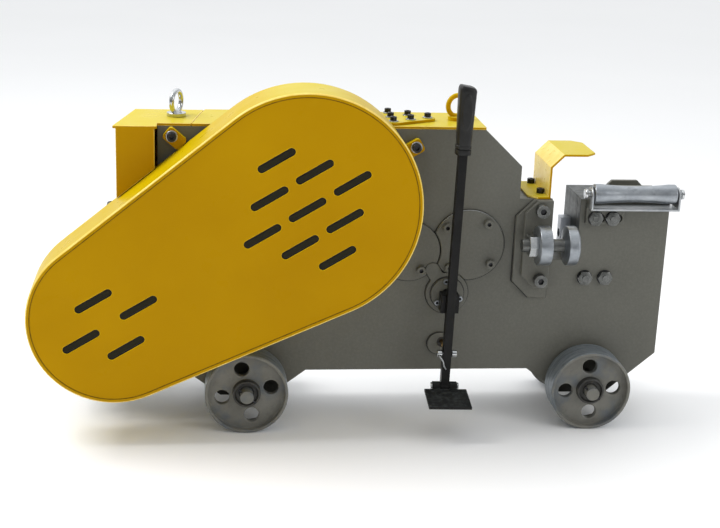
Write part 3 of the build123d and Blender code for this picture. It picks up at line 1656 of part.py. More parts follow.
with BuildPart() as stop_screw:
    turned_x(
        stop_y,
        stop_z,
        [
            (0, stop_nut_x - stop_tail_length),
            (stop_screw_radius, stop_nut_x - stop_tail_length),
            (stop_screw_radius, stop_neck_end_x),
            (stop_disc_radius, stop_flare_end_x),
            (stop_disc_radius, stop_end_x - stop_head_edge),
            (stop_disc_radius - stop_head_edge, stop_end_x),
            (0, stop_end_x),
        ],
    )
save(stop_screw, "stop_screw")

# Throat guard: a bent sheet on the ledge
bracket_low_z = ledge_z + bracket_sheet
bracket_inner_x = bracket_wall_x - bracket_sheet
facet_end_x = bracket_wall_x + bracket_facet
facet_end_z = bracket_wall_top_z + bracket_facet
facet_shift = bracket_sheet * tan(radians(22.5))

with BuildPart() as throat_guard:
    outline_y(
        [
            (bracket_flange_left_x, ledge_z),
            (bracket_wall_x, ledge_z),
            (bracket_wall_x, bracket_wall_top_z),
            (facet_end_x, facet_end_z),
            (bracket_reach_x, facet_end_z),
            (bracket_reach_x, facet_end_z + bracket_sheet),
            (facet_end_x - facet_shift, facet_end_z + bracket_sheet),
            (bracket_inner_x, bracket_wall_top_z + facet_shift),
            (bracket_inner_x, bracket_low_z),
            (bracket_flange_left_x, bracket_low_z),
        ],
        bracket_front_y,
        bracket_back_y,
    )
    reach_edges = throat_guard.edges().filter_by(Axis.Z).group_by(Axis.X)[-1]
    chamfer(reach_edges, bracket_corner)
    base_edges = throat_guard.edges().filter_by(Axis.Z).group_by(Axis.X)[0]
    chamfer(base_edges.sort_by(Axis.Y)[0], bracket_base_corner)
    for bolt_x, bolt_y in bracket_bolts:
        hole = bracket_head_radius * shank_share + shank_clearance
        bar_z(bolt_x, bolt_y, hole, ledge_z, bracket_low_z, mode=Mode.SUBTRACT)
save(throat_guard, "throat_guard")

# Support roller in its bracket, and the rest for the bar at the back
bracket_right_x = roller_x + roller_length / 2 + ear_gap + ear_thickness
roller_front_y = roller_y - ear_half_width
roller_base_low_z = roller_base_top_z - roller_base_thickness
roller_leg_y = front_face_y - roller_leg_thickness

with BuildPart() as roller_bracket:
    block(leg_left_x, bracket_right_x, roller_front_y, front_face_y, roller_base_low_z, roller_base_top_z)
    block(
        leg_left_x,
        leg_left_x + bracket_leg_length,
        roller_leg_y,
        front_face_y,
        bracket_leg_bottom_z,
        roller_base_top_z,
    )
    for ear_x in (leg_left_x, bracket_right_x - ear_thickness):
        ear_z = ear_top_z - ear_half_width
        ear_end_x = ear_x + ear_thickness
        block(ear_x, ear_end_x, roller_front_y, roller_y + ear_half_width, roller_base_low_z, ear_z)
        bar_x(roller_y, ear_z, ear_half_width, ear_x, ear_end_x)
        bar_x(roller_y, roller_z, roller_axle_radius, ear_x, ear_end_x, mode=Mode.SUBTRACT)
    for bolt_x, bolt_z in roller_bolts:
        with BuildSketch(side_plane(roller_leg_y)) as slot:
            with Locations((bolt_x + roller_slot_shift, bolt_z)):
                SlotOverall(roller_slot_length, 2 * (large_head_radius * shank_share + shank_clearance))
        extrude(slot.sketch, amount=-roller_leg_thickness, mode=Mode.SUBTRACT)
save(roller_bracket, "roller_bracket")

with BuildPart() as roller_axle:
    axle_from_x = roller_x - roller_axle_length / 2
    axle_to_x = roller_x + roller_axle_length / 2
    bar_x(roller_y, roller_z, roller_axle_radius, axle_from_x, axle_to_x)
    bar_x(roller_y, roller_z, axle_head_radius, axle_from_x, axle_from_x + axle_head_length)
    bar_x(roller_y, roller_z, axle_head_radius, axle_to_x - axle_head_length, axle_to_x)
save(roller_axle, "roller_axle")

with BuildPart() as support_roller:
    roller_right_x = roller_left_x + roller_length
    roller_bore = roller_axle_radius + roller_bore_clearance
    with BuildSketch(Plane(origin=(0, roller_y, roller_z), x_dir=(0, 1, 0), z_dir=(0, 0, -1))) as outline:
        with BuildLine():
            Polyline(
                (roller_radius, roller_right_x - roller_land),
                (roller_radius, roller_right_x - roller_edge),
                (roller_radius - roller_edge, roller_right_x),
                (roller_bore, roller_right_x),
                (roller_bore, roller_left_x),
                (roller_radius - roller_edge, roller_left_x),
                (roller_radius, roller_left_x + roller_edge),
                (roller_radius, roller_left_x + roller_land),
            )
            ThreePointArc(
                (roller_radius, roller_left_x + roller_land),
                (roller_radius - roller_waist, roller_x),
                (roller_radius, roller_right_x - roller_land),
            )
        make_face()
    revolve(outline.sketch, axis=Axis((0, roller_y, roller_z), (1, 0, 0)))
save(support_roller, "support_roller")

with BuildPart() as rear_bar_rest:
    rest_left_x = rest_x - rest_length / 2
    rest_right_x = rest_x + rest_length / 2
    rest_top_z = ledge_z + rest_rise
    outline_y(
        [
            (rest_left_x, rest_top_z - rest_height),
            (rest_left_x, rest_top_z - rest_corner),
            (rest_left_x + rest_corner, rest_top_z),
            (rest_right_x - rest_corner, rest_top_z),
            (rest_right_x, rest_top_z - rest_corner),
            (rest_right_x, rest_top_z - rest_height),
        ],
        back_face_y,
        back_face_y + rest_thickness,
    )
    for bolt_x, bolt_z in rest_bolts:
        bar_y(bolt_x, bolt_z, small_hex_radius, back_face_y, back_face_y + rest_thickness, mode=Mode.SUBTRACT)
save(rear_bar_rest, "rear_bar_rest")

# Fasteners, gathered by kind
with BuildPart() as front_socket_bolts:
    for screw_x, screw_z in crank_screws + shaft_screws:
        socket_bolt_y(
            screw_x,
            screw_z,
            front_face_y - cover_plate,
            socket_head_radius,
            socket_head_height,
            cover_plate + shank_length,
        )
    for screw_x, screw_z in flange_screws:
        socket_bolt_y(
            screw_x,
            screw_z,
            flange_face_y,
            flange_head_radius,
            flange_head_height,
            2 * flange_thickness + shank_length,
        )
    for bolt_x, bolt_z in guard_bolts:
        socket_bolt_y(
            bolt_x,
            bolt_z,
            guard_rear_y - lug_thickness,
            socket_head_radius,
            socket_head_height,
            guard_rear_gap + lug_thickness + shank_length,
        )
    for bolt_x, bolt_z in slide_bolts:
        socket_bolt_y(
            bolt_x,
            bolt_z,
            slide_face_y,
            large_head_radius,
            large_head_height,
            2 * slide_plate_thickness + shank_length,
        )
save(front_socket_bolts, "front_socket_bolts")

with BuildPart() as top_bolts:
    washer_z = cover_top_z + lid_thickness
    for bolt_x, bolt_y in lid_bolts:
        bar_z(bolt_x, bolt_y, lid_washer_radius, washer_z, washer_z + lid_washer_height)
        socket_bolt_z(
            bolt_x,
            bolt_y,
            washer_z + lid_washer_height,
            lid_head_radius,
            lid_head_height,
            lid_washer_height + lid_thickness + cover_thickness,
        )
    for bolt_x, bolt_y in bracket_bolts:
        socket_bolt_z(
            bolt_x,
            bolt_y,
            bracket_low_z,
            bracket_head_radius,
            bracket_head_height,
            bracket_sheet + ledge_thickness,
        )
save(top_bolts, "top_bolts")

with BuildPart() as hex_bolts:
    for bolt_x, bolt_z in tie_bolts:
        bar_y(
            bolt_x,
            bolt_z,
            tie_bolt_radius,
            front_face_y - tie_nut_height - tie_bolt_end,
            back_face_y + tie_nut_height + tie_bolt_end,
        )
        hex_nut_y(bolt_x, bolt_z, front_face_y, tie_nut_size, tie_nut_height)
        hex_nut_y(bolt_x, bolt_z, back_face_y + tie_nut_height, tie_nut_size, tie_nut_height)
    for bolt_x, bolt_z in roller_bolts:
        hex_nut_y(bolt_x, bolt_z, roller_leg_y, tie_nut_size, tie_nut_height)
        bar_y(bolt_x, bolt_z, large_head_radius * shank_share, roller_leg_y, front_face_y + shank_length)
    for bolt_x, bolt_z in rest_bolts:
        rest_face_y = back_face_y + rest_thickness
        hex_nut_y(bolt_x, bolt_z, rest_face_y + small_hex_height, small_hex_size, small_hex_height)
        bar_y(bolt_x, bolt_z, small_hex_radius, back_face_y - shank_length, rest_face_y)
    for bolt_x, bolt_y in foot_bolts:
        head_z = base_top_z + foot_thickness
        with BuildSketch(Plane.XY.offset(head_z)) as head:
            with Locations((bolt_x, bolt_y)):
                RegularPolygon(small_hex_size / 2, 6, major_radius=False)
        extrude(head.sketch, amount=small_hex_height)
        bar_z(bolt_x, bolt_y, foot_bolt_radius, base_bottom_z, head_z)
    bar_x(
        fixed_blade_middle_y,
        blade_middle_z,
        blade_bolt_radius,
        fixed_blade_x + blade_bolt_recess,
        throat_right_x + fixed_blade_seat_depth + shank_length,
    )
save(hex_bolts, "hex_bolts")
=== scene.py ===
import json
import math
from collections import namedtuple

import bmesh
import bpy
from mathutils import Matrix, Vector


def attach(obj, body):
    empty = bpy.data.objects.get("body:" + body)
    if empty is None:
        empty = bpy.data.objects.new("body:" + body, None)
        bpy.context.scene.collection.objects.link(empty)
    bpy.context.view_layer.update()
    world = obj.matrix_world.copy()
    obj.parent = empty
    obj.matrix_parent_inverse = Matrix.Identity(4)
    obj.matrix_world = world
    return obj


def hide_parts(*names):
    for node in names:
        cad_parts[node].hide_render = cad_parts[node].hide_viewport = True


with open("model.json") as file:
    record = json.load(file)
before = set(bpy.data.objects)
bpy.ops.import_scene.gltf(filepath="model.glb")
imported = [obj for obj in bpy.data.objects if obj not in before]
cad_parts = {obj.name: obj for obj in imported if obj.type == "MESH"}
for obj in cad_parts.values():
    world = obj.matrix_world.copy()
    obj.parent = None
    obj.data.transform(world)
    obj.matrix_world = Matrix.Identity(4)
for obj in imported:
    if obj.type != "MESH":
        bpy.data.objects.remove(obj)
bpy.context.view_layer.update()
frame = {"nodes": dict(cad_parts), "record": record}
nodes = frame["nodes"]
body_of = {node: body for body, names in frame["record"]["behaviour"]["bodies"].items() for node in names}
slot_of = {row["node"]: row["material_slot"] for row in frame["record"]["subparts"]}
MM = 0.001

# Camera, solved from the photograph: focal length in pixels of the 720 x 528 frame, angles in radians
IMAGE_WIDTH = 720
FOCAL_PIXELS = 1383.54
SENSOR_MM = 36.0
CAMERA_PLACE = Vector((-0.2905, -2.4570, 1.0349))
CAMERA_YAW = 0.1215
CAMERA_PITCH = 0.2967
CAMERA_ROLL = 0.0376

# Studio light: the sky is dim in front and bright behind, so that fronts stay deep and tops go pale
FRONT_SKY = 0.04
BACK_SKY = 0.95
DARK_BELOW = -0.35
ZENITH = 0.85
FLOOR_REACH = 400
SKY_TINT = (0.97, 0.985, 1.0, 1)

# Lamps as name, place, aim, size and power
LAMPS = (
    ("overhead", (-0.2, 0.8, 3.2), (0, 0, 0.3), (4.0, 3.0), 8),
    ("right", (2.6, -2.0, 1.4), (0.3, 0, 0.3), (1.4, 1.4), 24),
    ("left", (-1.9, 0.1, 2.6), (0.2, 0, 0.4), (1.4, 1.4), 56),
)

# Nodes inside the guard are painted black, whatever they are made of: painted shade, so that what shows
# through the guard's slots stays dark
DARK_INSIDE = ("flywheel", "motor_pulley")

# The belt guard: its two rounded ends as X, Z and radius, and what tells its edges apart
GUARD_BIG = (-0.107, 0.433, 0.200)
GUARD_SMALL = (-0.435, 0.232, 0.149)
GUARD_RIM = 9 * MM
PANEL_RECESS = 1.1 * MM
SLOT_EDGE = 0.35
SLIGHT_EDGE = 0.12
OUTLINE_STEPS = 40
TOUCH = 0.1 * MM
OUTER_EDGE = 1 * MM

# Sewing and rounding of the copies that stand in for nodes; angles in degrees
SEW_DISTANCE = 2e-6
FLAT_ANGLE = 0.2
SHARP_ANGLE = 30
SMOOTH_ANGLE = 50
ROUND_SEGMENTS = 2
GUARD_SEGMENTS = 4
WHEELS = ("rear_left_wheel", "rear_right_wheel", "front_left_wheel", "front_right_wheel")

# Rounding of each visible node's edges, in millimetres
ROUNDED = {
    "belt_guard": 4.0,
    "top_cover": 0.8,
    "inspection_lid": 0.8,
    "motor_hood": 1.0,
    "lifting_eyes": 0.8,
    "throat_guard": 0.9,
    "front_side_plate": 0.9,
    "back_side_plate": 1.4,
    "rear_wall_and_floor": 1.0,
    "nose_wall": 1.0,
    "ledge_cover": 0.5,
    "throat_wall": 1.0,
    "blade_seat": 1.2,
    "shaft_cover": 1.6,
    "crank_cover": 2.2,
    "rear_bearing_covers": 0.5,
    "rear_bar_rest": 1.2,
    "motor_base": 0.8,
    "slide_cover": 1.2,
    "slide_plate": 1.2,
    "clutch_flange": 1.0,
    "lever_detent": 1.0,
    "lever_rod": 0.8,
    "lever_hub": 0.8,
    "pedal": 0.7,
    "fixed_blade": 0.5,
    "moving_blade": 0.5,
    "wheel_axles": 0.3,
    "support_roller": 0.6,
    "roller_axle": 1.0,
    "roller_bracket": 1.2,
    "stop_screw": 1.0,
    "stop_lock_nut": 0.8,
    "split_pins": 0.4,
    "pedal_pin": 0.8,
    "front_socket_bolts": 0.5,
    "top_bolts": 0.4,
    "detent_plunger": 0.6,
    **{wheel: 1.6 for wheel in WHEELS},
    "motor_frame": 0.6,
    "motor_end_shields": 1.2,
    "motor_fan_cover": 0.6,
    "terminal_box": 1.2,
}

# Places, depths and shares that part one finish from another, in metres
BRACKET_LEG_TOP = 0.414
GUARD_BOLTS_ABOVE = 0.5
SOCKET_SHARE = 0.56
LARGE_SCREW = 20 * MM
FLANGE_SCREWS_WITHIN = 32 * MM
CROSS_BOLT_LOW = 0.140
CROSS_BOLT_HIGH = 0.157
TOP_HEAD_HEIGHT = 7 * MM
HUB_REACH = 26 * MM
RECESS_DEPTH = 1.5 * MM
BOSS_FRONT = -0.0975
NECK_REACH = 14 * MM
THROAT_RIGHT = 0.400
REAR_COVER_FACE = 0.058
SCREW_LIFT = 0.4 * MM
THROAT_SLACK = 1 * MM
ROLL_DEPTH = 4.5 * MM
ROLL_WIDTH = 5 * MM
LONG_EDGE = 8 * MM
SOCKET_DEPTH = 1.5 * MM
TREAD_SHARE = 0.96
THIN_SHARE = 1.1

# Shares of a face's normal along an axis, by which a face counts as square on, facing or turned that way
FACING = 0.7
FLAT = 0.95
SQUARE_ON = 0.9
HALF_FACING = 0.5
RIM_FACING = 0.4
TURNED = 0.2
ROLL_TURNED = 0.15

# Sizes of the added details, in metres; the wire's path is in millimetres
STEPS = 48
DETAIL_SMOOTH = 35
HEAD_CIRCLE = 0.95
HEAD_CHAMFER = 30
SHANK_SHARE = 0.27
WASHER_SHARE = 0.585
WASHER_HEIGHT = 2.2 * MM
WASHER_EDGE = 0.25
STUD_EDGE = 0.15
PIN_EDGE = 0.5 * MM
GUARD_WASHER = (8.3 * MM, 10.4 * MM, 1.8 * MM)
# A dark ring round the clutch flange's raised disc: painted shade at its foot
FLANGE_SHADE_RING = (29.5 * MM, 32.2 * MM, 0.8 * MM)
SMALL_HEAD = 8 * MM
LARGE_HEAD = 9 * MM
STUD = 3 * MM
TIE_LENGTH = 0.1
LUG_FRONT = -0.092
PLATE_FRONT = -0.080
# A dark rim round some covers, drawn as a gasket: painted shade along each cover's edge, wide below and
# narrow where the edge looks up
SHADE_GASKET_HIDDEN = 2 * MM
SHADE_GASKET_SHOWN = 1.9 * MM
SHADE_GASKET_TOP = 0.2 * MM
SHADE_GASKET_HEIGHT = 1.2 * MM
MITRE_LIMIT = 0.5
SHADE_GASKETS = ("crank_cover", "shaft_cover", "clutch_flange", "lever_detent", "slide_cover")
RETAINING_WIRE = (
    (142.5, -131, 148.5), (143.5, -138.5, 147), (147, -142, 143), (151, -142, 136), (153, -141.5, 128),
    (157, -140.5, 121),
)
WIRE_RADIUS = 1.3 * MM
WIRE_ROWS = 8
WIRE_STEPS = 16
LEVER_X = 0.161
LEVER_Y = -0.130
LEVER_PIVOT_Z = 0.2495
LEVER_LEAN = 1.2
FLANGE_FACE = -0.086
GUARD_STEPS = 240
PANEL_FRONT = -0.193
HEM_FOOT = 6.5 * MM
HEM_BEAD = (1.8 * MM, 0.5 * MM)
SLOT_ANGLE = 31
SLOT_HALF = (36 * MM, 7 * MM)
SLOT_GROUPS = (
    ((-107, 433), (64.7, -19.1), (-10.8, -66.0), 3),
    ((-441.5, 227.5), (76.0, -11.6), (-21.8, -73.0), 2),
)
SCREEN_LEVELS = (-0.1914, -0.1909, -0.1909, -0.1904, -0.1898)
SCREEN_REACH = (-2.6 * MM, -2.2 * MM, 5 * MM, 5.5 * MM, 5 * MM)
GRIP_STEPS = 96
GRIP_ROWS = 60
GRIP_END_ROWS = 8
GRIP_SWELL = 0.8
GRIP_SMOOTH = 40
GRIP_SQUARE = 3.6
GRIP_COLLARS = [(low * MM, half * MM) for low, half in (
    (519.0, 12.9), (519.5, 13.6), (520.2, 13.75), (527.0, 13.75), (527.7, 13.5), (528.0, 12.9), (528.2, 11.6),
    (529.8, 11.6), (530.0, 12.9), (530.4, 13.6), (531.0, 13.75), (535.0, 13.75), (535.7, 13.5), (536.0, 13.0),
)]
GRIP_BODY_LOW = 0.5363
GRIP_BODY_TOP = 0.630
GRIP_TOP = 0.6408
GRIP_DROP = 3 * MM
GRIP_LOW_HALF = 12.75 * MM
GRIP_TOP_HALF = 15.6 * MM
GRIP_CORNERS = (3.5 * MM, 9 * MM, 5 * MM)
OVAL_HALF = (9.5 * MM, 33 * MM)
OVAL_MIDDLE = 0.595
OVAL_RISE = 1.6 * MM
OVAL_SLOPE = 4
LID_LIP = 1.5 * MM
LID_RISE = 1.5 * MM
LID_DEPTH = 12 * MM
LID_CORNER = 5 * MM
LID_EDGE = 2 * MM
LID_SCREW_INSET = 8 * MM
LID_SCREW_SUNK = 0.5 * MM
LID_SCREW = [(radius * MM, height * MM) for radius, height in (
    (3.6, 0), (3.6, 1.4), (2.6, 2.4), (1.0, 2.4), (1.0, 1.2),
)]


def add_camera():
    forward = Vector((
        math.sin(CAMERA_YAW) * math.cos(CAMERA_PITCH),
        math.cos(CAMERA_YAW) * math.cos(CAMERA_PITCH),
        -math.sin(CAMERA_PITCH),
    ))
    level = Vector((math.cos(CAMERA_YAW), -math.sin(CAMERA_YAW), 0))
    upright = level.cross(forward)
    right = math.cos(CAMERA_ROLL) * level + math.sin(CAMERA_ROLL) * upright
    up = -math.sin(CAMERA_ROLL) * level + math.cos(CAMERA_ROLL) * upright
    turn = Matrix((right, up, -forward)).transposed().to_4x4()
    data = bpy.data.cameras.new("camera")
    data.sensor_fit = "HORIZONTAL"
    data.sensor_width = SENSOR_MM
    data.lens = FOCAL_PIXELS * SENSOR_MM / IMAGE_WIDTH
    data.clip_end = FLOOR_REACH
    camera = bpy.data.objects.new("camera", data)
    camera.matrix_world = Matrix.Translation(CAMERA_PLACE) @ turn
    bpy.context.scene.collection.objects.link(camera)
    bpy.context.scene.camera = camera


def add_light(name, place, aim, size, power):
    data = bpy.data.lights.new(name, "AREA")
    data.shape = "RECTANGLE"
    data.size, data.size_y = size
    data.energy = power
    lamp = bpy.data.objects.new(name, data)
    lamp.location = place
    lamp.rotation_euler = (Vector(aim) - Vector(place)).to_track_quat("-Z", "Y").to_euler()
    lamp.visible_camera = False
    bpy.context.scene.collection.objects.link(lamp)


def add_sky():
    world = bpy.data.worlds.new("studio")
    bpy.context.scene.world = world
    world.use_nodes = True
    tree = world.node_tree
    background = tree.nodes["Background"]
    background.inputs["Color"].default_value = SKY_TINT
    direction = tree.nodes.new("ShaderNodeTexCoord")
    parts = tree.nodes.new("ShaderNodeSeparateXYZ")
    fade = tree.nodes.new("ShaderNodeMapRange")
    fade.inputs["From Min"].default_value = DARK_BELOW
    fade.inputs["From Max"].default_value = 1.0
    fade.inputs["To Min"].default_value = FRONT_SKY
    fade.inputs["To Max"].default_value = BACK_SKY
    tree.links.new(direction.outputs["Generated"], parts.inputs["Vector"])
    tree.links.new(parts.outputs["Y"], fade.inputs["Value"])
    height = tree.nodes.new("ShaderNodeMapRange")
    height.inputs["To Max"].default_value = ZENITH
    tree.links.new(parts.outputs["Z"], height.inputs["Value"])
    total = tree.nodes.new("ShaderNodeMath")
    total.operation = "ADD"
    tree.links.new(fade.outputs["Result"], total.inputs[0])
    tree.links.new(height.outputs["Result"], total.inputs[1])
    tree.links.new(total.outputs["Value"], background.inputs["Strength"])


def add_studio():
    add_sky()
    for lamp in LAMPS:
        add_light(*lamp)


# Small helpers for node trees
class Shader:
    def __init__(self, name, **values):
        self.material = bpy.data.materials.new(name)
        self.material.use_nodes = True
        self.tree = self.material.node_tree
        self.bsdf = self.tree.nodes["Principled BSDF"]
        self.place = self.tree.nodes.new("ShaderNodeTexCoord").outputs["Object"]
        for key, value in values.items():
            self.bsdf.inputs[key.replace("_", " ")].default_value = value

    def link(self, source, target):
        self.tree.links.new(source, target)

    def noise(self, scale, detail=4.0, roughness=0.55, stretch=None):
        node = self.tree.nodes.new("ShaderNodeTexNoise")
        node.inputs["Scale"].default_value = scale
        node.inputs["Detail"].default_value = detail
        node.inputs["Roughness"].default_value = roughness
        self.link(self.spread(stretch), node.inputs["Vector"])
        return node.outputs["Fac"]

    def cells(self, scale, stretch=None):
        node = self.tree.nodes.new("ShaderNodeTexVoronoi")
        node.inputs["Scale"].default_value = scale
        self.link(self.spread(stretch), node.inputs["Vector"])
        return node.outputs["Distance"]

    def spread(self, stretch):
        if stretch is None:
            return self.place
        node = self.tree.nodes.new("ShaderNodeMapping")
        node.inputs["Scale"].default_value = stretch
        self.link(self.place, node.inputs["Vector"])
        return node.outputs["Vector"]

    def ramp(self, value, low, high, to_low=0.0, to_high=1.0):
        node = self.tree.nodes.new("ShaderNodeMapRange")
        node.inputs["From Min"].default_value = low
        node.inputs["From Max"].default_value = high
        node.inputs["To Min"].default_value = to_low
        node.inputs["To Max"].default_value = to_high
        self.link(value, node.inputs["Value"])
        return node.outputs["Result"]

    def cloud(self, *noise):
        """A noise spread over its middle range, to blend two tints."""
        return self.ramp(self.noise(*noise), 0.3, 0.7)

    def math(self, operation, first, second):
        node = self.tree.nodes.new("ShaderNodeMath")
        node.operation = operation
        self.link(first, node.inputs[0])
        self.link(second, node.inputs[1])
        return node.outputs[0]

    def mix(self, share, first, second):
        node = self.tree.nodes.new("ShaderNodeMix")
        node.data_type = "RGBA"
        self.link(share, node.inputs["Factor"])
        for socket, value in ((node.inputs["A"], first), (node.inputs["B"], second)):
            self.feed(value, socket)
        return node.outputs["Result"]

    def feed(self, value, socket):
        if isinstance(value, tuple):
            socket.default_value = (*value, 1)
        else:
            self.link(value, socket)

    def edges(self, radius):
        """1 on edges and 0 on open faces, from how far a rounded normal turns from the true one."""
        bevel = self.tree.nodes.new("ShaderNodeBevel")
        bevel.samples = 4
        bevel.inputs["Radius"].default_value = radius
        geometry = self.tree.nodes.new("ShaderNodeNewGeometry")
        dot = self.tree.nodes.new("ShaderNodeVectorMath")
        dot.operation = "DOT_PRODUCT"
        self.link(bevel.outputs["Normal"], dot.inputs[0])
        self.link(geometry.outputs["Normal"], dot.inputs[1])
        return self.ramp(dot.outputs["Value"], 0.99, 0.80)

    def worn_edges(self, radius, scale, low, high):
        return self.math("MULTIPLY", self.edges(radius), self.ramp(self.noise(scale, 5.0, 0.7), low, high))

    def looking(self, axis, low, high, share):
        """How far a face of the part looks along an axis, for painted light that makes the faces the lamps
        light full paler.
        """
        parts = self.tree.nodes.new("ShaderNodeSeparateXYZ")
        self.link(self.place.node.outputs["Normal"], parts.inputs["Vector"])
        return self.ramp(parts.outputs[axis], low, high, 0.0, share)

    def colour(self, value):
        self.link(value, self.bsdf.inputs["Base Color"])

    def rough(self, scale, low, high):
        self.link(self.ramp(self.noise(scale, 4.0), 0.3, 0.7, low, high), self.bsdf.inputs["Roughness"])

    def bump(self, height, strength, distance):
        node = self.tree.nodes.new("ShaderNodeBump")
        node.inputs["Strength"].default_value = strength
        node.inputs["Distance"].default_value = distance
        self.link(height, node.inputs["Height"])
        self.link(node.outputs["Normal"], self.bsdf.inputs["Normal"])


def yellow_paint():
    """Enamel sprayed over sheet steel, with faint dust and rubbed edges; painted light makes it paler on the
    sides and palest on the tops.
    """
    made = Shader("yellow_enamel", IOR=1.5, Specular_IOR_Level=0.04)
    broad = made.cloud(3.5, 3.0)
    paint = made.mix(broad, (0.465, 0.243, 0.0007), (0.522, 0.284, 0.0010))
    dust = made.ramp(made.noise(38.0, 6.0, 0.65), 0.58, 0.82, 0.0, 0.22)
    paint = made.mix(dust, paint, (0.52, 0.31, 0.006))
    # Painted light: faces that turn away from the front get a paler yellow, as the lamps light them more
    paint = made.mix(made.looking("Y", -0.90, -0.40, 0.85), paint, (0.56, 0.405, 0.0015))
    # Painted light: tops get a paler, greener yellow, as the overhead light falls full on them
    paint = made.mix(made.looking("Z", 0.90, 0.99, 0.75), paint, (0.60, 0.50, 0.045))
    made.colour(made.mix(made.worn_edges(0.0008, 60.0, 0.60, 0.70), paint, (0.30, 0.20, 0.05)))
    made.rough(24.0, 0.26, 0.38)
    made.bump(made.noise(420.0, 2.0), 0.05, 0.0006)
    return made.material


def clouded(name, noise, tints, rough, bump, **values):
    """A plain coat: two tints clouded together, with orange peel."""
    made = Shader(name, **values)
    made.colour(made.mix(made.cloud(*noise), *tints))
    made.rough(*rough)
    made.bump(made.noise(420.0, 2.0), bump, 0.0006)
    return made.material


def woven(name, scale, stretch, tints, rough, **values):
    """A dull cloth or wrap with a fine weave."""
    made = Shader(name, **values)
    weave = made.cells(scale, stretch)
    made.colour(made.mix(made.ramp(weave, 0.1, 0.6), *tints))
    made.rough(90.0, *rough)
    made.bump(weave, 0.25, 0.0006)
    return made.material


def moulded(name, scale, tints, rough, grain, bump, **values):
    """A dark moulded plastic with a fine leather grain."""
    made = Shader(name, IOR=1.46, **values)
    made.colour(made.mix(made.cloud(scale, 4.0), *tints))
    made.rough(*rough)
    made.bump(made.cells(grain), *bump)
    return made.material


def pale_yellow():
    """The same enamel made paler as a painted highlight, for rolled edges and for faces the lamps light full.
    """
    tints = ((0.80, 0.56, 0.075), (0.92, 0.72, 0.19))
    return clouded("yellow_enamel_highlight", (40.0, 5.0, 0.6), tints, (60.0, 0.24, 0.36), 0.05,
                   IOR=1.5, Specular_IOR_Level=0.3)


def slot_yellow():
    """The same enamel made brighter round the slots: painted highlight on their edges."""
    tints = ((0.66, 0.40, 0.003), (0.76, 0.48, 0.008))
    return clouded("yellow_enamel_slot_highlight", (40.0, 5.0, 0.6), tints, (60.0, 0.28, 0.40), 0.05,
                   IOR=1.5, Specular_IOR_Level=0.04)


def screen_cloth():
    """Dark brown cloth behind the slots: painted shade, the dark seen through the guard's slots."""
    tints = ((0.016, 0.0145, 0.0085), (0.030, 0.0275, 0.017))
    return woven("slot_shade_cloth", 900.0, None, tints, (0.70, 0.85), Specular_IOR_Level=0.04)


def grey_paint():
    """Warm dark grey machine paint, sprayed to a fine grain, mottled and rubbed lighter on the edges."""
    made = Shader("grey_machine_paint", IOR=1.48, Specular_IOR_Level=0.35)
    broad = made.cloud(5.0, 4.0)
    paint = made.mix(broad, (0.101, 0.100, 0.083), (0.125, 0.124, 0.104))
    mottle = made.ramp(made.noise(210.0, 5.0, 0.7), 0.42, 0.70, 0.0, 0.5)
    paint = made.mix(mottle, paint, (0.152, 0.150, 0.127))
    grain = made.ramp(made.noise(900.0, 3.0, 0.7), 0.35, 0.75, 0.0, 0.35)
    paint = made.mix(grain, paint, (0.164, 0.161, 0.137))
    made.colour(made.mix(made.worn_edges(0.0016, 45.0, 0.46, 0.64), paint, (0.26, 0.255, 0.235)))
    made.rough(70.0, 0.40, 0.56)
    made.bump(made.math("ADD", made.noise(650.0, 3.0), made.noise(150.0, 3.0)), 0.12, 0.0008)
    return made.material


def black_paint():
    """Black enamel on the lever and its fittings, scuffed to dull grey on the edges."""
    made = Shader("black_enamel", IOR=1.5, Specular_IOR_Level=0.16)
    tone = made.ramp(made.noise(30.0, 5.0), 0.35, 0.7)
    paint = made.mix(tone, (0.0060, 0.0060, 0.0060), (0.0130, 0.0128, 0.0122))
    made.colour(made.mix(made.worn_edges(0.0012, 70.0, 0.48, 0.64), paint, (0.075, 0.073, 0.070)))
    made.rough(55.0, 0.32, 0.48)
    made.bump(made.noise(500.0, 3.0), 0.08, 0.0006)
    return made.material


def grip_plastic():
    tints = ((0.010, 0.010, 0.010), (0.020, 0.020, 0.019))
    return moulded("black_moulded_plastic", 40.0, tints, (120.0, 0.34, 0.48), 900.0, (0.16, 0.0005),
                   Specular_IOR_Level=0.3)


def metal(name, pale, deep, rough, scale, stretch=None, bump=0.06):
    """A bare or plated metal: two tints clouded together, with a finish of its own roughness and grain."""
    made = Shader(name, Metallic=1.0)
    cloud = made.ramp(made.noise(scale, 5.0, 0.6), 0.32, 0.68)
    made.colour(made.mix(cloud, pale, deep))
    grain = made.noise(400.0, 4.0, 0.6, stretch)
    made.link(made.ramp(grain, 0.25, 0.75, *rough), made.bsdf.inputs["Roughness"])
    made.bump(grain, bump, 0.0005)
    return made.material


def zinc_steel():
    return metal("zinc_plate", (0.50, 0.51, 0.51), (0.34, 0.36, 0.38), (0.30, 0.48), 55.0)


def bright_zinc():
    """Fresh plating of the eye bolt, the lock nut and the pins, smooth enough to mirror the room."""
    return metal("bright_zinc_plate", (0.66, 0.67, 0.67), (0.44, 0.46, 0.47), (0.10, 0.24), 70.0)


def hem_grime_and_shade():
    """Dark brown along the foot of the guard's hem: grime settled there, and painted shade of the hem's step.
    """
    tints = ((0.115, 0.058, 0.002), (0.250, 0.135, 0.003))
    return clouded("hem_grime_and_shade", (90.0, 6.0, 0.7), tints, (80.0, 0.45, 0.65), 0.10, Specular_IOR_Level=0.08)


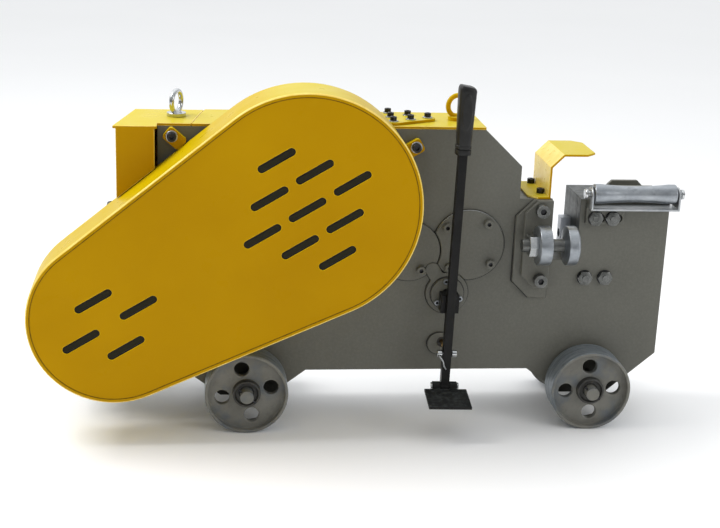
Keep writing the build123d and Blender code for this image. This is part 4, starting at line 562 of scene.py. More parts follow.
def dull_zinc():
    """Plating of the outside bolts, gone dark and dirty, with light edges that are partly wear and partly
    painted highlight.
    """
    made = Shader("dull_zinc_plate", Metallic=0.8, Specular_IOR_Level=0.4)
    cloud = made.ramp(made.noise(90.0, 5.0, 0.6), 0.32, 0.68)
    tone = made.mix(cloud, (0.165, 0.168, 0.162), (0.085, 0.088, 0.082))
    # Light edges: partly wear, partly painted highlight that brings out the heads' facets
    made.colour(made.mix(made.worn_edges(0.0013, 140.0, 0.30, 0.55), tone, (0.50, 0.51, 0.50)))
    made.rough(180.0, 0.30, 0.48)
    made.bump(made.noise(420.0, 4.0), 0.12, 0.0006)
    return made.material


def rolled_zinc():
    """Plating of the roller and the bar stop: blue grey, streaked along their length by bars."""
    made = Shader("streaked_zinc_plate", Metallic=0.9)
    streak = made.ramp(made.noise(34.0, 6.0, 0.7, (0.5, 1, 1)), 0.34, 0.68)
    tone = made.mix(streak, (0.40, 0.425, 0.45), (0.24, 0.26, 0.285))
    dirt = made.ramp(made.noise(60.0, 5.0, 0.7), 0.55, 0.75, 0.0, 0.6)
    made.colour(made.mix(dirt, tone, (0.12, 0.125, 0.125)))
    made.rough(70.0, 0.28, 0.46)
    made.bump(made.noise(260.0, 4.0, 0.6, (0.5, 1, 1)), 0.10, 0.0006)
    return made.material


def blade_steel():
    return metal("ground_tool_steel", (0.40, 0.42, 0.45), (0.28, 0.30, 0.33), (0.24, 0.46), 30.0,
                 (1, 1, 12), 0.10)


def gear_steel():
    return metal("oiled_gear_steel", (0.27, 0.265, 0.255), (0.17, 0.165, 0.158), (0.26, 0.46), 40.0,
                 (1, 14, 1), 0.08)


def black_oxide():
    return metal("black_oxide_steel", (0.050, 0.050, 0.053), (0.028, 0.028, 0.030), (0.30, 0.48), 80.0)


def bronze():
    return metal("brass_and_bronze", (0.72, 0.50, 0.22), (0.58, 0.38, 0.16), (0.22, 0.40), 70.0)


def cast_iron():
    """Grey painted cast iron of the wheels: dull, pebbled, rubbed bright on the rims."""
    made = Shader("painted_cast_iron", IOR=1.45, Specular_IOR_Level=0.35)
    tone = made.cloud(26.0, 5.0, 0.6)
    paint = made.mix(tone, (0.150, 0.146, 0.126), (0.210, 0.206, 0.182))
    grime = made.ramp(made.noise(60.0, 6.0, 0.7), 0.55, 0.75, 0.0, 0.5)
    paint = made.mix(grime, paint, (0.075, 0.072, 0.064))
    blued = made.ramp(made.noise(17.0, 4.0, 0.6), 0.52, 0.66, 0.0, 0.75)
    paint = made.mix(blued, paint, (0.105, 0.125, 0.145))
    made.colour(made.mix(made.worn_edges(0.0022, 50.0, 0.44, 0.62), paint, (0.27, 0.27, 0.26)))
    made.rough(60.0, 0.44, 0.60)
    made.bump(made.math("ADD", made.noise(260.0, 4.0, 0.6), made.noise(60.0, 3.0)), 0.20, 0.0010)
    return made.material


def tread_steel():
    """Bare tread of a wheel: blued by weather, with dull streaks along the way it rolls."""
    made = Shader("rolled_tread_steel", Metallic=0.4, Specular_IOR_Level=0.4)
    streak = made.ramp(made.noise(22.0, 5.0, 0.65, (1, 9, 1)), 0.34, 0.68)
    tone = made.mix(streak, (0.15, 0.17, 0.185), (0.31, 0.345, 0.375))
    grime = made.ramp(made.noise(75.0, 6.0, 0.7), 0.54, 0.76, 0.0, 0.6)
    made.colour(made.mix(grime, tone, (0.10, 0.095, 0.082)))
    made.rough(48.0, 0.38, 0.60)
    made.bump(made.noise(180.0, 4.0, 0.65, (1, 5, 1)), 0.16, 0.0008)
    return made.material


def bare_steel():
    """Milled steel beside the throat: dark and bluish, dulled by handling."""
    made = Shader("milled_bare_steel", Metallic=0.5, Specular_IOR_Level=0.4)
    cloud = made.ramp(made.noise(18.0, 5.0, 0.6), 0.32, 0.68)
    tone = made.mix(cloud, (0.046, 0.054, 0.054), (0.085, 0.096, 0.096))
    dirt = made.ramp(made.noise(70.0, 6.0, 0.7), 0.5, 0.75, 0.0, 0.6)
    made.colour(made.mix(dirt, tone, (0.13, 0.13, 0.12)))
    made.rough(90.0, 0.34, 0.52)
    made.bump(made.noise(240.0, 3.0, 0.6, (1, 6, 1)), 0.10, 0.0006)
    return made.material


def greasy_iron():
    """Hub faces and recesses: dark cast iron, painted shade in the lever detent's recess and darker round the
    wheels' hubs.
    """
    made = Shader("greasy_iron", IOR=1.46)
    tone = made.ramp(made.noise(90.0, 5.0, 0.65), 0.34, 0.68)
    made.colour(made.mix(tone, (0.022, 0.022, 0.020), (0.060, 0.058, 0.050)))
    made.rough(120.0, 0.32, 0.55)
    made.bump(made.noise(300.0, 4.0), 0.20, 0.0008)
    return made.material


def trodden_paint():
    """Black paint of the pedal's tread, dusty and scuffed through to grey by boots."""
    made = Shader("trodden_black_paint", IOR=1.5, Specular_IOR_Level=0.25)
    scuff = made.ramp(made.noise(85.0, 6.0, 0.72), 0.46, 0.70)
    paint = made.mix(scuff, (0.012, 0.013, 0.013), (0.060, 0.066, 0.066))
    made.colour(made.mix(made.worn_edges(0.0015, 70.0, 0.44, 0.60), paint, (0.13, 0.13, 0.13)))
    made.rough(110.0, 0.46, 0.70)
    made.bump(made.noise(380.0, 4.0), 0.22, 0.0008)
    return made.material


def belt_rubber():
    """Black V-belt rubber with a woven wrap."""
    tints = ((0.010, 0.010, 0.010), (0.030, 0.029, 0.028))
    return woven("belt_rubber", 700.0, (1, 1.6, 1), tints, (0.62, 0.80))


def motor_paint():
    """Blue grey motor enamel over cast fins."""
    made = Shader("motor_enamel", IOR=1.48, Specular_IOR_Level=0.4)
    tone = made.cloud(14.0, 4.0)
    paint = made.mix(tone, (0.060, 0.085, 0.105), (0.085, 0.112, 0.135))
    made.colour(made.mix(made.worn_edges(0.0012, 60.0, 0.48, 0.64), paint, (0.19, 0.20, 0.21)))
    made.rough(50.0, 0.36, 0.50)
    made.bump(made.noise(320.0, 3.0), 0.12, 0.0008)
    return made.material


def box_plastic():
    tints = ((0.020, 0.021, 0.022), (0.034, 0.035, 0.036))
    return moulded("terminal_box_plastic", 20.0, tints, (150.0, 0.44, 0.58), 1100.0, (0.10, 0.0004))


def floor_paint():
    made = Shader("pale_floor", Roughness=0.8, Specular_IOR_Level=0.1)
    tone = made.cloud(0.8, 3.0)
    made.colour(made.mix(tone, (0.945, 0.945, 0.945), (0.965, 0.965, 0.965)))
    return made.material


FINISHES = {made.__name__: made for made in (
    yellow_paint, grey_paint, black_paint, grip_plastic, zinc_steel, blade_steel, gear_steel, black_oxide,
    bronze, cast_iron, belt_rubber, motor_paint, box_plastic,
)}
finish = {slot: FINISHES[slot]() for slot in sorted(set(slot_of.values()))}
for extra in (pale_yellow, slot_yellow, hem_grime_and_shade, screen_cloth, tread_steel, bright_zinc, dull_zinc,
              rolled_zinc, bare_steel, greasy_iron, trodden_paint):
    finish[extra.__name__] = extra()

def paint_node(node):
    mesh = nodes[node].data
    mesh.materials.clear()
    mesh.materials.append(finish["black_paint" if node in DARK_INSIDE else slot_of[node]])


def new_piece(name, mesh, body, slot, look=None):
    piece = bpy.data.objects.new(name, mesh)
    bpy.context.scene.collection.objects.link(piece)
    mesh.materials.clear()
    mesh.materials.append(finish[look or slot])
    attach(piece, body)
    return piece


def smooth(mesh, angle):
    mesh.polygons.foreach_set("use_smooth", [True] * len(mesh.polygons))
    mesh.set_sharp_from_angle(angle=math.radians(angle))


def joined(node):
    """A copy of a node's mesh with its faces sewn together and its flat faces whole."""
    mesh = nodes[node].data.copy()
    work = bmesh.new()
    work.from_mesh(mesh)
    bmesh.ops.remove_doubles(work, verts=work.verts, dist=SEW_DISTANCE)
    bmesh.ops.dissolve_limit(work, angle_limit=math.radians(FLAT_ANGLE), verts=work.verts, edges=work.edges)
    work.to_mesh(mesh)
    work.free()
    return mesh


def guard_depth(x, z):
    """How far a place on the belt guard's panel lies outside its outline, less than nothing inside."""
    shares = (step / OUTLINE_STEPS for step in range(OUTLINE_STEPS + 1))
    return min(math.hypot(x - GUARD_BIG[0] - share * (GUARD_SMALL[0] - GUARD_BIG[0]),
                          z - GUARD_BIG[1] - share * (GUARD_SMALL[1] - GUARD_BIG[1]))
               - GUARD_BIG[2] - share * (GUARD_SMALL[2] - GUARD_BIG[2]) for share in shares)


def guard_weight(edge, front):
    """A full rounding for the guard's outer front edge, less for its slots and a slight one for the rest."""
    depths = [guard_depth(vert.co.x, vert.co.z) for vert in edge.verts]
    behind = max(vert.co.y for vert in edge.verts) - front
    if behind < TOUCH and min(depths) > -OUTER_EDGE:
        return 1.0
    return SLOT_EDGE if behind < PANEL_RECESS and max(depths) < -GUARD_RIM else SLIGHT_EDGE


def outside_weight(edge, front):
    """A full rounding for edges that stand out, and none for inside corners near another body."""
    return 1.0 if edge.is_convex else 0.0


WEIGHTS = {"belt_guard": guard_weight, "pedal": outside_weight, "lever_rod": outside_weight}


def weigh_edges(mesh, weight):
    """Gives each sharp edge the share of the rounding that weight() says."""
    work = bmesh.new()
    work.from_mesh(mesh)
    layer = work.edges.layers.float.new("bevel_weight_edge")
    front = min(vert.co.y for vert in work.verts)
    for edge in work.edges:
        if edge.is_manifold and edge.calc_face_angle() > math.radians(SHARP_ANGLE):
            edge[layer] = weight(edge, front)
    work.to_mesh(mesh)
    work.free()


def soften(node, width):
    """Stands a copy of a node in its place with its sharp edges rounded over."""
    mesh = joined(node)
    smooth(mesh, SMOOTH_ANGLE)
    weighed = node in WEIGHTS
    if weighed:
        weigh_edges(mesh, WEIGHTS[node])
    piece = new_piece(node + "_skin", mesh, body_of[node], slot_of[node])
    round_over = piece.modifiers.new("round_over", "BEVEL")
    round_over.width = width
    round_over.segments = GUARD_SEGMENTS if node == "belt_guard" else ROUND_SEGMENTS
    round_over.limit_method = "WEIGHT" if weighed else "ANGLE"
    round_over.angle_limit = math.radians(SHARP_ANGLE)
    round_over.use_clamp_overlap = False
    round_over.loop_slide = False
    flat_faces = piece.modifiers.new("flat_faces", "WEIGHTED_NORMAL")
    flat_faces.keep_sharp = True
    bpy.context.view_layer.update()
    rounded = bpy.data.meshes.new_from_object(piece.evaluated_get(bpy.context.evaluated_depsgraph_get()))
    piece.modifiers.clear()
    piece.data = rounded
    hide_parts(node)
    return piece


def islands(mesh):
    """The mesh's separate shells, each as a list of its faces' numbers."""
    owners = {}
    for face in mesh.polygons:
        for corner in face.vertices:
            owners.setdefault(corner, []).append(face.index)
    left = set(range(len(mesh.polygons)))
    shells = []
    while left:
        todo = [left.pop()]
        shell = []
        while todo:
            index = todo.pop()
            shell.append(index)
            for corner in mesh.polygons[index].vertices:
                for other in owners[corner]:
                    if other in left:
                        left.remove(other)
                        todo.append(other)
        shells.append(sorted(shell))
    return shells


def shell_box(mesh, shell):
    corners = [mesh.vertices[index].co for face in shell for index in mesh.polygons[face].vertices]
    low = Vector([min(corner[axis] for corner in corners) for axis in range(3)])
    high = Vector([max(corner[axis] for corner in corners) for axis in range(3)])
    return low, high


# A face of a mesh, with the box of the shell that it belongs to
Face = namedtuple("Face", "centre normal box corners")


def repaint(piece, choose):
    """Gives a face another finish where choose(face) names one."""
    mesh = piece.data
    numbers = {}
    for shell in islands(mesh):
        box = shell_box(mesh, shell)
        for index in shell:
            face = mesh.polygons[index]
            corners = [mesh.vertices[corner].co for corner in face.vertices]
            slot = choose(Face(face.center, face.normal, box, corners))
            if slot is None:
                continue
            if slot not in numbers:
                numbers[slot] = len(mesh.materials)
                mesh.materials.append(finish[slot])
            face.material_index = numbers[slot]


def whole(slot):
    """A choice that gives every face the same finish."""
    return lambda face: slot


def guard_finish(face):
    """Painted highlight: brighter enamel on the guard's rolled rim and on the edges of its slots."""
    depth = guard_depth(face.centre.x, face.centre.z)
    rolled = -FLAT < face.normal.y < -ROLL_TURNED and face.centre.y < face.box[0].y + ROLL_DEPTH
    if not rolled or -GUARD_RIM < depth < -ROLL_WIDTH:
        return None
    return "pale_yellow" if depth > -GUARD_RIM else "slot_yellow"


# The cloth faces the front; the rest of each frame stays black, painted shade along the slot's edge
def screen_finish(face):
    return "screen_cloth" if face.normal.y < -SQUARE_ON and face.centre.y < face.box[0].y + TOUCH else None


# Painted shade: the thin washers under the hex bolts are black, a dark ring round each head
def washer_finish(face):
    return "black_oxide" if min(face.box[1] - face.box[0]) < THIN_SHARE * WASHER_HEIGHT else None


def edge_finish(face):
    """Painted highlight on rounded edges of sheet steel that look up or forward."""
    seen = face.normal.z > TURNED or face.normal.y < -TURNED
    rolled = seen and max(abs(part) for part in face.normal) < FLAT
    wide = max((first - second).length for first in face.corners for second in face.corners) > LONG_EDGE
    return "pale_yellow" if rolled and wide else None


def bracket_finish(face):
    return "grey_paint" if face.centre.z < BRACKET_LEG_TOP else None


def screw_finish(face):
    """Cover screws are painted over with the body, but their sockets and the guard's bolts stay black."""
    low, high = face.box
    middle = (low + high) / 2
    if middle.z > GUARD_BOLTS_ABOVE:
        return None
    reach = math.hypot(face.centre.x - middle.x, face.centre.z - middle.z)
    in_socket = reach < SOCKET_SHARE * (high.x - low.x) / 2 and face.centre.y > low.y + SOCKET_DEPTH
    if in_socket:
        return None
    if math.hypot(middle.x - LEVER_X, middle.z - LEVER_PIVOT_Z) < FLANGE_SCREWS_WITHIN:
        return "rolled_zinc"
    return "dull_zinc" if high.x - low.x > LARGE_SCREW else "grey_paint"


def eye_finish(face):
    return "bright_zinc" if face.centre.x < 0 else None


def hub_finish(face):
    return "bright_zinc" if CROSS_BOLT_LOW < face.centre.z < CROSS_BOLT_HIGH else None


def top_bolt_finish(face):
    return "zinc_steel" if face.centre.z < face.box[1].z - TOP_HEAD_HEIGHT else None


def wheel_finish(face):
    low, high = face.box
    middle = (low + high) / 2
    reach = [math.hypot(corner.x - middle.x, corner.z - middle.z) for corner in face.corners]
    if min(reach) > TREAD_SHARE * (high.x - low.x) / 2 and abs(face.normal.y) < FACING:
        return "tread_steel"
    # Faces close round the hub are made darker
    return "greasy_iron" if max(reach) < HUB_REACH else None


# Painted highlight: the crank cover's rounded edge gets bright zinc where it looks up towards the lamps
def crank_cover_finish(face):
    rolled = -SQUARE_ON < face.normal.y < -TURNED
    return "zinc_steel" if rolled and face.normal.z > RIM_FACING else None


# Painted shade: the detent's recess behind its front face is dark
def detent_finish(face):
    return "greasy_iron" if face.centre.y > face.box[0].y + RECESS_DEPTH else None


def boss_finish(face):
    return "rolled_zinc" if face.centre.y < BOSS_FRONT else None


def stop_finish(face):
    middle = (face.box[0] + face.box[1]) / 2
    reach = max(math.hypot(corner.y - middle.y, corner.z - middle.z) for corner in face.corners)
    return "dull_zinc" if reach < NECK_REACH else "rolled_zinc"


def throat_finish(face):
    past_throat = face.centre.x > THROAT_RIGHT - THROAT_SLACK
    return "bare_steel" if past_throat and (face.normal.x < -FACING or face.normal.z > FACING) else None


def bracket_wall_finish(face):
    """Painted light on the throat guard's upright: paler yellow where it faces left, towards the lamp."""
    return "pale_yellow" if face.normal.x < -HALF_FACING else None


def rear_screw_finish(face):
    return "dull_zinc" if face.centre.y > REAR_COVER_FACE + SCREW_LIFT else None


def pedal_finish(face):
    return "trodden_paint" if face.normal.z > FACING else None


REPAINTED = {
    "belt_guard": guard_finish,
    "top_cover": edge_finish,
    "motor_hood": edge_finish,
    "roller_bracket": bracket_finish,
    "front_socket_bolts": screw_finish,
    "lifting_eyes": eye_finish,
    "lever_hub": hub_finish,
    "top_bolts": top_bolt_finish,
    "lever_detent": detent_finish,
    "slide_plate": boss_finish,
    "stop_screw": stop_finish,
    "front_side_plate": throat_finish,
    "blade_seat": throat_finish,
    "ledge_cover": throat_finish,
    "pedal": pedal_finish,
    "pedal_pin": whole("bright_zinc"),
    "stop_lock_nut": whole("bright_zinc"),
    "roller_axle": whole("bright_zinc"),
    "throat_guard": bracket_wall_finish,
    "rear_bearing_covers": rear_screw_finish,
    "crank_cover": crank_cover_finish,
    "support_roller": whole("rolled_zinc"),
    "wheel_axles": whole("cast_iron"),
    "split_pins": whole("black_oxide"),
    **{wheel: wheel_finish for wheel in WHEELS},
}


def basis(axis):
    """A turn that takes local Z to the axis and keeps local X along the world's X where it can."""
    axis = Vector(axis).normalized()
    first = Vector((0, 1, 0)) if abs(axis.x) > SQUARE_ON else Vector((1, 0, 0))
    first = (first - axis * first.dot(axis)).normalized()
    return Matrix((first, axis.cross(first), axis)).transposed()


def loft(work, rings, closed=False):
    """Skins a row of rings of points; the ends are capped unless the last ring joins the first."""
    rows = [[work.verts.new(point) for point in ring] for ring in rings]
    pairs = list(zip(rows, rows[1:]))
    if closed:
        pairs.append((rows[-1], rows[0]))
    else:
        work.faces.new(list(reversed(rows[0])))
        work.faces.new(rows[-1])
    for below, above in pairs:
        for index, corner in enumerate(below):
            after = (index + 1) % len(below)
            work.faces.new((corner, below[after], above[after], above[index]))


def turned(work, place, axis, profile, closed=False):
    """A turned form: profile lists (radius, height) along the axis from a place."""
    turn = basis(axis)
    rings = []
    for radius, height in profile:
        rings.append([place + turn @ Vector((radius * math.cos(angle), radius * math.sin(angle), height))
                      for angle in (2 * math.pi * step / STEPS for step in range(STEPS))])
    loft(work, rings, closed)


def washer(work, place, axis, inner, outer, height):
    edge = WASHER_EDGE * height
    turned(work, place, axis, [
        (inner, 0), (outer, 0), (outer, height - edge), (outer - edge, height), (inner, height),
    ], closed=True)


def hex_head(work, place, axis, flats, height):
    """A hexagon head with its corners chamfered off to a circle."""
    turn = basis(axis)
    circle = HEAD_CIRCLE * flats / 2
    rings = [[], [], []]
    for step in range(STEPS):
        angle = 2 * math.pi * step / STEPS
        reach = flats / 2 / math.cos(angle % (math.pi / 3) - math.pi / 6)
        shoulder = height - (reach - circle) * math.tan(math.radians(HEAD_CHAMFER))
        for ring, radius, level in zip(rings, (reach, reach, circle), (0, shoulder, height)):
            ring.append(place + turn @ Vector((radius * math.cos(angle), radius * math.sin(angle), level)))
    loft(work, rings)


def finish_piece(name, work, body, slot, look=None, angle=DETAIL_SMOOTH):
    bmesh.ops.recalc_face_normals(work, faces=work.faces)
    mesh = bpy.data.meshes.new(name)
    work.to_mesh(mesh)
    work.free()
    smooth(mesh, angle)
    return new_piece(name, mesh, body, slot, look)


def hex_bolt(work, tip, axis, flats, head, length, stud=0.0):
    """One bolt from its outer tip inward: stud end, head or nut, washer and shank."""
    axis = Vector(axis)
    seat = tip - axis * (head + stud)
    shank = SHANK_SHARE * flats
    edge = STUD_EDGE * shank
    hex_head(work, seat, axis, flats, head)
    washer(work, seat, axis, shank, WASHER_SHARE * flats, WASHER_HEIGHT)
    turned(work, tip - axis * length, axis, [(shank, 0), (shank, length - stud - head)])
    if stud:
        turned(work, seat + axis * head, axis, [(shank, 0), (shank, stud - edge), (shank - edge, stud)])


def add_hex_bolts():
    """Redraws every hexagon bolt with a chamfered head on a washer."""
    mesh = joined("hex_bolts")
    work = bmesh.new()
    for shell in islands(mesh):
        low, high = shell_box(mesh, shell)
        middle = (low + high) / 2
        size = high - low
        front = Vector((middle.x, low.y, middle.z))
        back = Vector((middle.x, high.y, middle.z))
        top = Vector((middle.x, middle.y, high.z))
        if size.x > max(size.y, size.z):
            turned(work, Vector((low.x, middle.y, middle.z)), (1, 0, 0),
                   [(size.z / 2 - PIN_EDGE, 0), (size.z / 2, PIN_EDGE), (size.z / 2, size.x)])
        elif size.z > size.y:
            hex_bolt(work, top, (0, 0, 1), size.y, SMALL_HEAD, size.z)
        elif size.y > TIE_LENGTH:
            hex_bolt(work, front, (0, -1, 0), size.z, LARGE_HEAD, size.y / 2, STUD)
            hex_bolt(work, back, (0, 1, 0), size.z, LARGE_HEAD, size.y / 2, STUD)
        elif middle.y < 0:
            hex_bolt(work, front, (0, -1, 0), size.z, LARGE_HEAD - STUD, size.y, STUD)
        else:
            hex_bolt(work, back, (0, 1, 0), size.z, SMALL_HEAD, size.y)
    piece = finish_piece("hex_bolts_washered", work, body_of["hex_bolts"], "zinc_steel", "dull_zinc")
    repaint(piece, washer_finish)
    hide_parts("hex_bolts")


def add_guard_washers():
    """Washers under the two bolts of the belt guard's lugs."""
    mesh = joined("front_socket_bolts")
    work = bmesh.new()
    for shell in islands(mesh):
        low, high = shell_box(mesh, shell)
        middle = (low + high) / 2
        if middle.z > GUARD_BOLTS_ABOVE:
            washer(work, Vector((middle.x, LUG_FRONT, middle.z)), (0, -1, 0), *GUARD_WASHER)
    finish_piece("guard_washers", work, "machine_body", "zinc_steel")


def add_flange_shade_ring():
    """A dark ring round the raised disc of the clutch flange: painted shade at the disc's foot."""
    work = bmesh.new()
    washer(work, Vector((LEVER_X, FLANGE_FACE, LEVER_PIVOT_Z)), (0, -1, 0), *FLANGE_SHADE_RING)
    finish_piece("clutch_flange_shade_ring", work, "machine_body", "belt_rubber")


def guard_ring(inset, level):
    """Points round the belt guard's outline, drawn in by an inset, at a level along Y."""
    points = []
    for step in range(GUARD_STEPS):
        angle = 2 * math.pi * step / GUARD_STEPS
        x, z, radius = max((GUARD_BIG, GUARD_SMALL), key=lambda end: (
            end[0] * math.cos(angle) + end[1] * math.sin(angle) + end[2]))
        reach = radius - inset
        points.append(Vector((x + reach * math.cos(angle), level, z + reach * math.sin(angle))))
    return points


def add_hem_line():
    """A dark line along the foot of the guard's hem, as a low bead: grime, and painted shade of the hem's
    step.
    """
    width, height = HEM_BEAD
    work = bmesh.new()
    loft(work, [
        guard_ring(HEM_FOOT, PANEL_FRONT),
        guard_ring(HEM_FOOT, PANEL_FRONT - height),
        guard_ring(HEM_FOOT + width, PANEL_FRONT - height / 2),
        guard_ring(HEM_FOOT + width, PANEL_FRONT),
    ], closed=True)
    finish_piece("guard_hem_line", work, "machine_body", "yellow_paint", "hem_grime_and_shade")


def add_shade_screens():
    """Dark cloth in black frames behind the guard's slots: painted shade that fills each slot evenly dark,
    blackest in a ring along its edge.
    """
    work = bmesh.new()
    for (x, z), column, row, count in SLOT_GROUPS:
        for i in range(count):
            for j in range(count):
                across = i - (count - 1) / 2
                down = j - (count - 1) / 2
                middle = Vector((x + column[0] * across + row[0] * down, 0,
                                 z + column[1] * across + row[1] * down)) * MM
                rings = []
                for level, reach in zip(SCREEN_LEVELS, SCREEN_REACH):
                    rings.append([middle + Vector((0, level, 0)) + point for point in slot_ring(reach)])
                loft(work, rings)
    repaint(finish_piece("slot_shade_screens", work, "machine_body", "black_paint"), screen_finish)


def slot_ring(reach):
    """Points round one of the guard's slots, a reach outside its edge."""
    turn = Matrix.Rotation(math.radians(-SLOT_ANGLE), 3, "Y")
    points = []
    for step in range(STEPS):
        angle = 2 * math.pi * step / STEPS
        end = math.copysign(SLOT_HALF[0] - SLOT_HALF[1], math.cos(angle))
        radius = SLOT_HALF[1] + reach
        points.append(turn @ Vector((end + radius * math.cos(angle), 0, radius * math.sin(angle))))
    return points


def grip_ring(half, low, inset=(0, 0, 0), rise=(0, 0)):
    """One ring of the handle: a rounded square, drawn in on its sides for the end."""
    left, right, depth = half - inset[0], half - inset[1], half - inset[2]
    points = []
    for step in range(GRIP_STEPS):
        angle = 2 * math.pi * step / GRIP_STEPS
        total = abs(math.cos(angle)) ** GRIP_SQUARE + abs(math.sin(angle)) ** GRIP_SQUARE
        reach = total ** (-1 / GRIP_SQUARE)
        x, y = reach * math.cos(angle), reach * math.sin(angle)
        across = x * (right if x > 0 else left)
        share = (across + left) / (left + right)
        level = low + rise[0] + (rise[1] - rise[0]) * share
        points.append(Vector((across, y * depth, level)))
    return points


def add_grip():
    """The moulded handle: two collars, a swelling body with raised ovals and an end rounded to the right."""
    rings = [grip_ring(half, low) for low, half in GRIP_COLLARS]
    for step in range(GRIP_ROWS + 1):
        share = step / GRIP_ROWS
        rings.append(grip_ring(GRIP_LOW_HALF + (GRIP_TOP_HALF - GRIP_LOW_HALF) * share ** GRIP_SWELL,
                               GRIP_BODY_LOW + (GRIP_BODY_TOP - GRIP_BODY_LOW) * share))
    left, right, depth = GRIP_CORNERS
    for step in range(1, GRIP_END_ROWS + 1):
        turn = math.pi / 2 * step / GRIP_END_ROWS
        gone, up = 1 - math.cos(turn), math.sin(turn)
        rings.append(grip_ring(
            GRIP_TOP_HALF, GRIP_BODY_TOP, (left * gone, right * gone, depth * gone),
            (up * (GRIP_TOP - GRIP_BODY_TOP), up * (GRIP_TOP - GRIP_DROP - GRIP_BODY_TOP)),
        ))
    for ring in rings:
        for point in ring:
            oval = (point.x / OVAL_HALF[0]) ** 2 + ((point.z - OVAL_MIDDLE) / OVAL_HALF[1]) ** 2
            if oval < 1 and abs(point.y) > abs(point.x):
                point.y += math.copysign(OVAL_RISE * min(1, OVAL_SLOPE * (1 - oval)), point.y)
    lean = Matrix.Rotation(math.radians(LEVER_LEAN), 3, "Y")
    pivot = Vector((LEVER_X, 0, LEVER_PIVOT_Z))
    foot = Vector((LEVER_X, LEVER_Y, 0))
    work = bmesh.new()
    loft(work, [[pivot + lean @ (point + foot - pivot) for point in ring] for ring in rings])
    piece = finish_piece("moulded_grip", work, body_of["lever_grip"], "grip_plastic", None, GRIP_SMOOTH)
    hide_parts("lever_grip")


def outline(node):
    """The outer edge of the face that a cover rests on, as points in order round it."""
    work = bmesh.new()
    work.from_mesh(joined(node))
    resting = {face for face in work.faces
               if face.normal.y > SQUARE_ON and abs(face.calc_center_median().y - PLATE_FRONT) < TOUCH}
    meeting = {}
    for edge in work.edges:
        if len(resting.intersection(edge.link_faces)) == 1:
            for vert in edge.verts:
                meeting.setdefault(vert, []).append(edge)
    loops = []
    while meeting:
        vert = next(iter(meeting))
        loop = []
        while vert in meeting:
            loop.append(vert.co.copy())
            ahead = [edge.other_vert(vert) for edge in meeting.pop(vert)]
            vert = next((other for other in ahead if other in meeting), None)
        loops.append(loop)
    work.free()
    return max(loops, key=lambda loop: max(point.x for point in loop) - min(point.x for point in loop))


def offset(loop, reach, top_reach):
    """The loop moved outward in its own plane, which stands across Y, by another reach where it looks up."""
    area = sum(a.x * b.z - b.x * a.z for a, b in zip(loop, loop[1:] + loop[:1]))
    side = 1 if area > 0 else -1
    moved = []
    for index, point in enumerate(loop):
        before = (point - loop[index - 1]).normalized()
        after = (loop[(index + 1) % len(loop)] - point).normalized()
        outward = [side * Vector((way.z, 0, -way.x)) for way in (before, after)]
        middle = (outward[0] + outward[1]).normalized()
        here = reach + (top_reach - reach) * max(0, middle.z)
        moved.append(point + middle * here / max(MITRE_LIMIT, middle.dot(outward[0])))
    return moved


def add_shade_gasket(node):
    """A dark rim round a cover, drawn as a gasket: painted shade along the cover's edge, narrow where the
    edge looks up.
    """
    loop = outline(node)
    inner = offset(loop, -SHADE_GASKET_HIDDEN, -SHADE_GASKET_HIDDEN)
    outer = offset(loop, SHADE_GASKET_SHOWN, SHADE_GASKET_TOP)
    raised = Vector((0, -SHADE_GASKET_HEIGHT, 0))
    work = bmesh.new()
    rings = [inner, outer, [point + raised for point in outer], [point + raised for point in inner]]
    loft(work, rings, closed=True)
    finish_piece(node + "_gasket", work, body_of[node], "belt_rubber")


def curve_point(before, start, end, after, share):
    """A point between start and end on the smooth curve through all four."""
    bend = 2 * before - 5 * start + 4 * end - after
    twist = 3 * start - before - 3 * end + after
    return 0.5 * (2 * start + (end - before) * share + bend * share ** 2 + twist * share ** 3)


def add_wire():
    """The bent wire that keeps the lever's cross bolt from turning."""
    points = [Vector(point) * MM for point in RETAINING_WIRE]
    last = len(points) - 1
    path = []
    for index in range(last):
        near = [points[max(0, min(last, index + step))] for step in (-1, 0, 1, 2)]
        path += [curve_point(*near, row / WIRE_ROWS) for row in range(WIRE_ROWS)]
    path.append(points[-1])
    rings = []
    for index, point in enumerate(path):
        way = path[min(index + 1, len(path) - 1)] - path[max(index - 1, 0)]
        turn = basis(way)
        rings.append([point + turn @ Vector((WIRE_RADIUS * math.cos(angle), WIRE_RADIUS * math.sin(angle), 0))
                      for angle in (2 * math.pi * step / WIRE_STEPS for step in range(WIRE_STEPS))])
    work = bmesh.new()
    loft(work, rings)
    finish_piece("retaining_wire", work, body_of["lever_hub"], "zinc_steel")


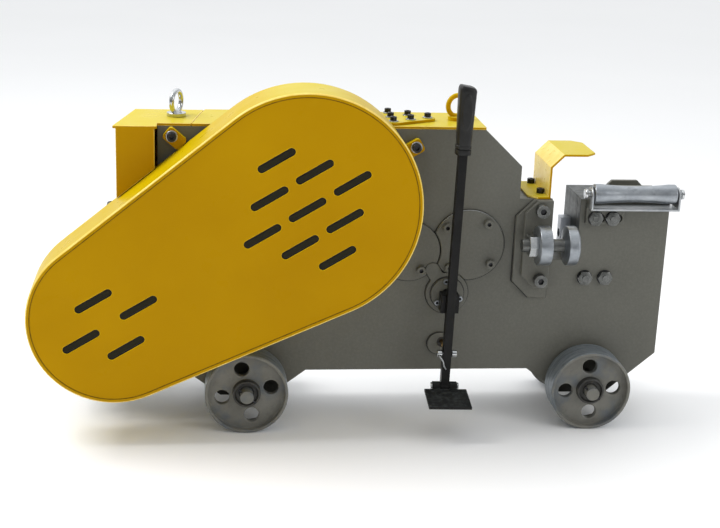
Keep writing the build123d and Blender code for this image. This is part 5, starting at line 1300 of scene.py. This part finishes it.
def add_terminal_lid():
    """Lid of the terminal box with a lip over the box and a screw in each corner."""
    mesh = joined("terminal_box")
    low, high = shell_box(mesh, max(islands(mesh), key=len))
    work = bmesh.new()
    bottom = Vector((low.x - LID_LIP, low.y - LID_LIP, high.z - LID_DEPTH))
    top = high + Vector((LID_LIP, LID_LIP, LID_RISE))
    cube = bmesh.ops.create_cube(work, size=1.0)
    for vert in cube["verts"]:
        vert.co = Vector([(bottom[k] + top[k]) / 2 + vert.co[k] * (top[k] - bottom[k]) for k in range(3)])
    upright = [edge for edge in work.edges if abs(edge.verts[0].co.z - edge.verts[1].co.z) > MM]
    bmesh.ops.bevel(work, geom=upright, offset=LID_CORNER, segments=5, profile=0.5, affect="EDGES")
    rim = [edge for edge in work.edges if min(vert.co.z for vert in edge.verts) > top.z - TOUCH]
    bmesh.ops.bevel(work, geom=rim, offset=LID_EDGE, segments=3, profile=0.5, affect="EDGES")
    for x in (bottom.x + LID_SCREW_INSET, top.x - LID_SCREW_INSET):
        for y in (bottom.y + LID_SCREW_INSET, top.y - LID_SCREW_INSET):
            turned(work, Vector((x, y, top.z - LID_SCREW_SUNK)), (0, 0, 1), LID_SCREW)
    finish_piece("terminal_lid", work, "machine_body", "box_plastic")


def add_floor():
    mesh = bpy.data.meshes.new("floor")
    reach = FLOOR_REACH
    mesh.from_pydata([(-reach, -reach, 0), (reach, -reach, 0), (reach, reach, 0), (-reach, reach, 0)], [],
                     [(0, 1, 2, 3)])
    floor = bpy.data.objects.new("floor", mesh)
    bpy.context.scene.collection.objects.link(floor)
    mesh.materials.append(floor_paint())


add_camera()
add_studio()
add_floor()
bpy.context.scene.view_settings.view_transform = "Standard"
for node in nodes:
    paint_node(node)
skins = {node: soften(node, width * MM) for node, width in ROUNDED.items()}
for node, choose in REPAINTED.items():
    repaint(skins[node], choose)
add_hex_bolts()
add_guard_washers()
add_flange_shade_ring()
add_hem_line()
add_shade_screens()
add_grip()
for node in SHADE_GASKETS:
    add_shade_gasket(node)
add_wire()
add_terminal_lid()
